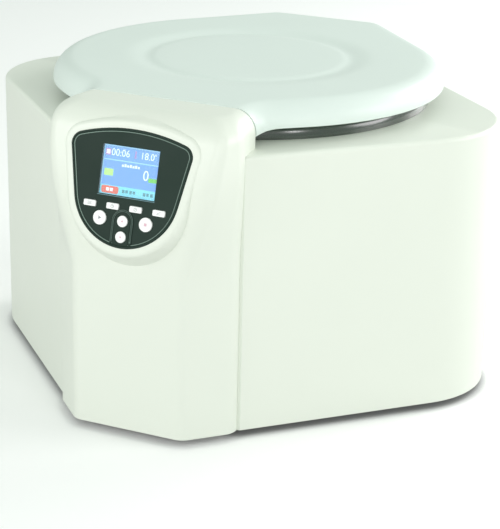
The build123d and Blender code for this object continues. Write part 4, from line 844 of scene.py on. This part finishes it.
class CENTRIFUGE_OT_screen(bpy.types.Operator):
    """Builds the lit picture of the screen from thin layers"""
    bl_idname = "centrifuge.screen"
    bl_label = "Screen"

    def execute(self, context):
        sizes = context.scene.centrifuge_sizes
        step = sizes.screen_layer
        for name, (colour, gap, strength) in SCREEN_COLOURS.items():
            lit_finish(name, srgb(*colour), srgb(*gap), strength)
        pieces = [(name, joined([screen_block(layer, *block) for block in blocks]), material)
                  for name, (material, layer, blocks) in SCREEN_BLOCKS.items()]
        for name, body, tall, across, upwards in (
                ("screen_time", "00:06", 7.6 * MM, 0.300, 0.850),
                ("screen_degrees", "18.0", 7.4 * MM, 0.775, 0.850),
                ("screen_count", str(sizes.screen_count), 10.8 * MM, 0.785, 0.462)):
            number = on_screen(digits(body, tall, step), across, upwards, 2)
            pieces.append((name, number, "screen_white"))
        bulb = joined([on_screen(flat_disc(1.25 * MM, step, 20, 0.75 * MM), 0.565, 0.805, 2),
                       screen_block(2, 0.556, 0.574, 0.828, 0.930)])
        unit = on_screen(flat_disc(1.0 * MM, step, 20, 0.6 * MM), 0.915, 0.905, 2)
        pieces += [("screen_bulb", bulb, "screen_rose"), ("screen_unit", unit, "screen_white")]
        for name, piece, material in pieces:
            finish_piece(piece, name, "base", FINISHES[material])

        # Painted highlight: a thin pale strip just below the display window stands in for the line of light along
        # its lower edge.
        left, right, low, _ = window()
        face = reach("display_window", OUTWARDS)[1]
        highlight_strip = flat_plate(right - left + HIGHLIGHT_WIDER, HIGHLIGHT_HEIGHT, HIGHLIGHT_THICK)
        place(highlight_strip, panel_place((left + right) / 2, low - HIGHLIGHT_BELOW, face))
        painted_highlight = finish("window_trim", "moulded_skin",
                       (srgb(120, 160, 170), srgb(104, 142, 154), 0.5, 0.25, 0.4, 900.0))
        finish_piece(highlight_strip, "window_trim", "base", painted_highlight)
        return {"FINISHED"}


def key_mark(node, parts):
    """Join the parts of a printed mark and set them on the face of a key."""
    mark = joined(parts)
    rise = reach(node, OUTWARDS)[1] - MARK_SINK
    place(mark, panel_place(middle(node, ACROSS), middle(node, UPWARDS), rise))
    return mark


def printed(name, colour, worn_colour):
    """Dull ink for a printed mark."""
    return finish(name, "moulded_skin", (colour, worn_colour, 0.7, 0.45, 0.6, 2600.0))


def shifted(part, x, y, turn=0.0):
    """Move and turn a flat part in its own plane."""
    part.data.transform(Matrix.Translation((x, y, 0.0)) @ Matrix.Rotation(turn, 4, "Z"))
    return part


def outer_loop(node):
    """Outline of the face of a panel node, as places across and up the panel in order."""
    skin = merged_copy(node)
    face_height = reach(node, OUTWARDS)[1]
    mesh = bmesh.new()
    mesh.from_mesh(skin.data)
    bpy.data.objects.remove(skin)
    top = {face for face in mesh.faces if face.normal.dot(OUTWARDS) > FACE_COSINE
           and face.calc_center_median().dot(OUTWARDS) > face_height - FACE_BAND}
    after = {}
    for face in top:
        for loop in face.loops:
            if not any(other in top for other in loop.edge.link_faces if other is not face):
                after[loop.vert] = loop.link_loop_next.vert
    loops = []
    while after:
        start, step = after.popitem()
        line = [start]
        while step is not start and step in after:
            line.append(step)
            step = after.pop(step)
        loops.append([Vector((vertex.co.dot(ACROSS), vertex.co.dot(UPWARDS))) for vertex in line])
    mesh.free()
    return max(loops, key=lambda line: sum((a - b).length for a, b in zip(line, line[1:])))


def evened(line, pitch):
    """Closed outline with its points spaced evenly."""
    spans = list(zip(line, line[1:] + line[:1]))
    total = sum((b - a).length for a, b in spans)
    count = round(total / pitch)
    points, walked, spot = [], 0.0, 0.0
    for a, b in spans:
        length = (b - a).length
        while spot < walked + length - SLACK and len(points) < count:
            points.append(a.lerp(b, (spot - walked) / length))
            spot += total / count
        walked += length
    return points


def ridge(node, inset, width, rise, name, material, cut=None):
    """Fine raised line that follows a panel node's outline inside its edge."""
    line = evened(outer_loop(node), LINE_PITCH)
    if cut is not None:
        line = [spot for spot in line if spot.y > cut]
        gap = max(range(len(line)), key=lambda i: (line[i] - line[i - 1]).length)
        line = line[gap:] + line[:gap]
    count = len(line)
    height = reach(node, OUTWARDS)[1]
    profile = ((inset, LINE_SINK), (inset, rise * 0.6), (inset + width * 0.3, rise),
               (inset + width * 0.7, rise), (inset + width, rise * 0.6), (inset + width, LINE_SINK))
    mesh = bmesh.new()
    rows = []
    for i, spot in enumerate(line):
        before = line[i - 1] if i or cut is None else spot
        behind = line[(i + 1) % count] if i < count - 1 or cut is None else spot
        along = (behind - before).normalized()
        inward = Vector((-along.y, along.x))
        places = [(spot + inward * side, height + up) for side, up in profile]
        rows.append([mesh.verts.new(ACROSS * flat.x + UPWARDS * flat.y + OUTWARDS * level)
                     for flat, level in places])
    for i in range(count if cut is None else count - 1):
        here, there = rows[i], rows[(i + 1) % count]
        for k in range(len(profile) - 1):
            mesh.faces.new((here[k], there[k], there[k + 1], here[k + 1]))
    if cut is not None:
        mesh.faces.new(rows[0])
        mesh.faces.new(rows[-1][::-1])
    finish_piece(made_piece(mesh, name, 50.0), name, "base", material)


class CENTRIFUGE_OT_panel_lines(bpy.types.Operator):
    """Draws the fine raised line inside the bezel, coloured pale to paint its highlight, and the moulded lines on
    the arrow key surround
    """
    bl_idname = "centrifuge.panel_lines"
    bl_label = "Panel lines"

    def execute(self, context):
        # Painted highlight: the bezel's inner line gets a pale grey-green that stands in for the light its bevel
        # catches.
        light = finish("panel_line", "moulded_skin",
                       (srgb(126, 150, 138), srgb(92, 114, 104), 0.8, 0.25, 0.4, 1500.0),
                       bump=0.1, depth=0.00005, Coat_Weight=0.3, Coat_Roughness=0.2)
        dim = finish("surround_line", "moulded_skin",
                     (srgb(100, 124, 114), srgb(74, 94, 86), 0.8, 0.3, 0.5, 1500.0), bump=0.1, depth=0.00005)
        ridge("panel_plate", 0.15 * MM, 0.9 * MM, 0.5 * MM, "panel_border_line", light)
        foot = reach("arrow_key_surround", UPWARDS)[0] + 3.0 * MM
        ridge("arrow_key_surround", 0.3 * MM, 0.55 * MM, 0.15 * MM, "surround_outer_line", dim, foot)
        ridge("arrow_key_surround", 1.75 * MM, 0.5 * MM, 0.15 * MM, "surround_inner_line", dim, foot)
        return {"FINISHED"}


class CENTRIFUGE_OT_key_marks(bpy.types.Operator):
    """Prints a plain sign on each key"""
    bl_idname = "centrifuge.key_marks"
    bl_label = "Key marks"

    def execute(self, context):
        sizes = context.scene.centrifuge_sizes
        thick, tall = sizes.mark_thick, sizes.mark_size
        ink = printed("key_ink", srgb(150, 152, 158), srgb(176, 178, 184))
        red_ink = printed("key_red_ink", srgb(226, 178, 196), srgb(236, 200, 212))
        line = 0.4 * MM

        def bar(width, height, x, y, turn=0.0):
            return shifted(flat_plate(width, height, thick), x, y, turn)

        marks = {
            "menu_key": ([bar(4.6 * MM, line, 0.0, y * MM) for y in (-1.2, 0.0, 1.2)], ink),
            "time_key": ([flat_disc(1.8 * MM, thick, 32, 1.4 * MM), bar(line, 1.1 * MM, 0.0, 0.5 * MM),
                          bar(0.8 * MM, line, 0.4 * MM, 0.0)], ink),
            "speed_key": ([flat_disc(1.8 * MM, thick, 32, 1.4 * MM),
                           bar(line, 1.5 * MM, 0.35 * MM, 0.35 * MM, -0.8)], ink),
            "lid_key": ([bar(4.4 * MM, line, 0.0, -1.2 * MM),
                         bar(4.4 * MM, line, 0.2 * MM, 0.5 * MM, 0.42)], ink),
            "start_key": ([shifted(flat_disc(tall * 0.5, thick, 3), 0.0, 0.0, -math.pi / 2)], ink),
            "stop_key": ([flat_plate(tall * 0.72, tall * 0.72, thick)], red_ink),
            "up_key": ([flat_disc(tall * 0.36, thick, 3)], red_ink),
            "down_key": ([shifted(flat_disc(tall * 0.36, thick, 3), 0.0, 0.0, math.pi)], red_ink),
        }
        for node, (parts, material) in marks.items():
            finish_piece(key_mark(node, parts), node + "_mark", node, material)
        return {"FINISHED"}


class CENTRIFUGE_OT_switch_marks(bpy.types.Operator):
    """Prints the line and circle of the power rocker"""
    bl_idname = "centrifuge.switch_marks"
    bl_label = "Switch marks"

    def execute(self, context):
        thick = context.scene.centrifuge_sizes.mark_thick
        ink = printed("switch_ink", srgb(226, 228, 226), srgb(206, 208, 206))
        rocker = frame["nodes"]["power_rocker"].data
        for name, upper, part in (("rocker_line", True, flat_plate(0.9 * MM, 4.4 * MM, thick)),
                                  ("rocker_circle", False, flat_disc(2.2 * MM, thick, 32, 1.5 * MM))):
            faces = [face for face in rocker.polygons
                     if face.normal.y > 0.7 and (face.normal.z < 0) == upper and face.area > 1e-6]
            normal = sum((face.normal * face.area for face in faces), Vector()).normalized()
            area = sum(face.area for face in faces)
            centre = sum((face.center * face.area for face in faces), Vector()) / area
            side = normal.cross(Vector((0.0, 0.0, 1.0))).normalized()
            basis = Matrix((side, normal.cross(side), normal)).transposed().to_4x4()
            place(part, Matrix.Translation(centre) @ basis)
            finish_piece(part, name, "power_rocker", ink)
        return {"FINISHED"}


def camera_sees(tree):
    """1 for rays from the camera or through glass, 0 for the rest."""
    ray = tree.nodes.new("ShaderNodeLightPath").outputs
    return arithmetic(tree, "MAXIMUM", ray["Is Camera Ray"], ray["Is Transmission Ray"])


class CENTRIFUGE_OT_stage(bpy.types.Operator):
    """Sets the floor with its painted contact shadow, the soft lamps, the even light and the camera"""
    bl_idname = "centrifuge.stage"
    bl_label = "Stage"

    def execute(self, context):
        studio = context.scene.centrifuge_studio
        clear_selection()
        bpy.ops.mesh.primitive_circle_add(vertices=96, radius=FLOOR_R, fill_type="NGON")
        floor = bpy.context.object
        floor.name = "floor"
        material = bpy.data.materials.new("floor_white")
        material.use_nodes = True
        tree = material.node_tree
        surface = tree.nodes["Principled BSDF"]
        surface.inputs["Roughness"].default_value = 0.6
        surface.inputs["Specular IOR Level"].default_value = 0.1
        seen = camera_sees(tree)
        # Painted shadow: where ambient occlusion finds the object close, the floor's colour seen by the camera
        # turns dark grey.
        near = add_node(tree, "ShaderNodeAmbientOcclusion", {"Distance": PAINTED_SHADE_REACH}, samples=16)
        painted_contact_shade = colour_mix(tree, spread(tree, near.outputs["AO"], 0.42, 0.9), srgb(128, 130, 128), WHITE)
        tree.links.new(colour_mix(tree, seen, srgb(225, 225, 225), painted_contact_shade), surface.inputs["Base Color"])
        surface.inputs["Emission Color"].default_value = WHITE
        tree.links.new(spread(tree, seen, 0.0, 1.0, 0.0, 0.05), surface.inputs["Emission Strength"])
        floor.data.materials.append(material)

        world = bpy.data.worlds.new("even_light")
        context.scene.world = world
        world.use_nodes = True
        tree = world.node_tree
        sky = tree.nodes["Background"]
        seen = camera_sees(tree)
        tint = colour_mix(tree, seen, (*studio.fill_colour, 1.0), WHITE)
        tree.links.new(tint, sky.inputs["Color"])
        tree.links.new(spread(tree, seen, 0.0, 1.0, studio.fill, 1.0), sky.inputs["Strength"])

        for name, azimuth, width, power in LAMPS:
            data = bpy.data.lights.new(name, "AREA")
            data.shape = "DISK"
            data.size = width
            data.energy = getattr(studio, power)
            data.color = LAMP_COLOUR
            lamp = linked(name, data)
            turn, level = math.radians(azimuth), math.cos(LAMP_ELEVATION)
            away = Vector((math.sin(turn) * level, -math.cos(turn) * level, math.sin(LAMP_ELEVATION)))
            lamp.location = LAMP_AIM + away * LAMP_DISTANCE
            lamp.rotation_euler = (-away).to_track_quat("-Z", "Y").to_euler()

        level = math.cos(CAMERA_PITCH)
        ahead = Vector((-math.sin(CAMERA_YAW) * level, math.cos(CAMERA_YAW) * level, -math.sin(CAMERA_PITCH)))
        right = Vector((math.cos(CAMERA_YAW), math.sin(CAMERA_YAW), 0.0))
        above = right.cross(ahead)
        tipped_right = right * math.cos(CAMERA_ROLL) + above * math.sin(CAMERA_ROLL)
        tipped_above = above * math.cos(CAMERA_ROLL) - right * math.sin(CAMERA_ROLL)
        data = bpy.data.cameras.new("camera")
        data.lens = studio.lens
        data.sensor_width = 36.0
        data.clip_start, data.clip_end = 0.05, 40.0
        camera = linked("camera", data)
        turn = Matrix((tipped_right, tipped_above, -ahead)).transposed().to_4x4()
        camera.matrix_world = Matrix.Translation(CAMERA_PLACE) @ turn
        context.scene.camera = camera
        context.scene.view_settings.view_transform = "Standard"
        return {"FINISHED"}


class CENTRIFUGE_PT_panel(bpy.types.Panel):
    """Lists the steps and settings of the centrifuge"""
    bl_label = "Centrifuge"
    bl_space_type = "VIEW_3D"
    bl_region_type = "UI"
    bl_category = "Centrifuge"

    def draw(self, context):
        for name in SETTINGS:
            group = getattr(context.scene, name)
            box = self.layout.box()
            for key in group.__annotations__:
                box.prop(group, key)
        for step in STEPS:
            self.layout.operator(step.bl_idname)


STEPS = (CENTRIFUGE_OT_finishes, CENTRIFUGE_OT_shells, CENTRIFUGE_OT_screen, CENTRIFUGE_OT_panel_lines,
         CENTRIFUGE_OT_key_marks, CENTRIFUGE_OT_switch_marks, CENTRIFUGE_OT_stage)
SETTINGS = {"centrifuge_colours": CentrifugeColours, "centrifuge_sizes": CentrifugeSizes,
            "centrifuge_studio": CentrifugeStudio}
CLASSES = (*SETTINGS.values(), *STEPS, CENTRIFUGE_PT_panel)


def register():
    """Add the classes and the settings."""
    for kind in CLASSES:
        bpy.utils.register_class(kind)
    for name, kind in SETTINGS.items():
        setattr(bpy.types.Scene, name, bpy.props.PointerProperty(type=kind))


def unregister():
    """Take the settings and the classes away again."""
    for name in SETTINGS:
        delattr(bpy.types.Scene, name)
    for kind in reversed(CLASSES):
        bpy.utils.unregister_class(kind)


def main():
    """Build everything in order."""
    register()
    bpy.ops.centrifuge.finishes()
    bpy.ops.centrifuge.shells()
    bpy.ops.centrifuge.screen()
    bpy.ops.centrifuge.panel_lines()
    bpy.ops.centrifuge.key_marks()
    bpy.ops.centrifuge.switch_marks()
    bpy.ops.centrifuge.stage()


if __name__ == "__main__":
    main()
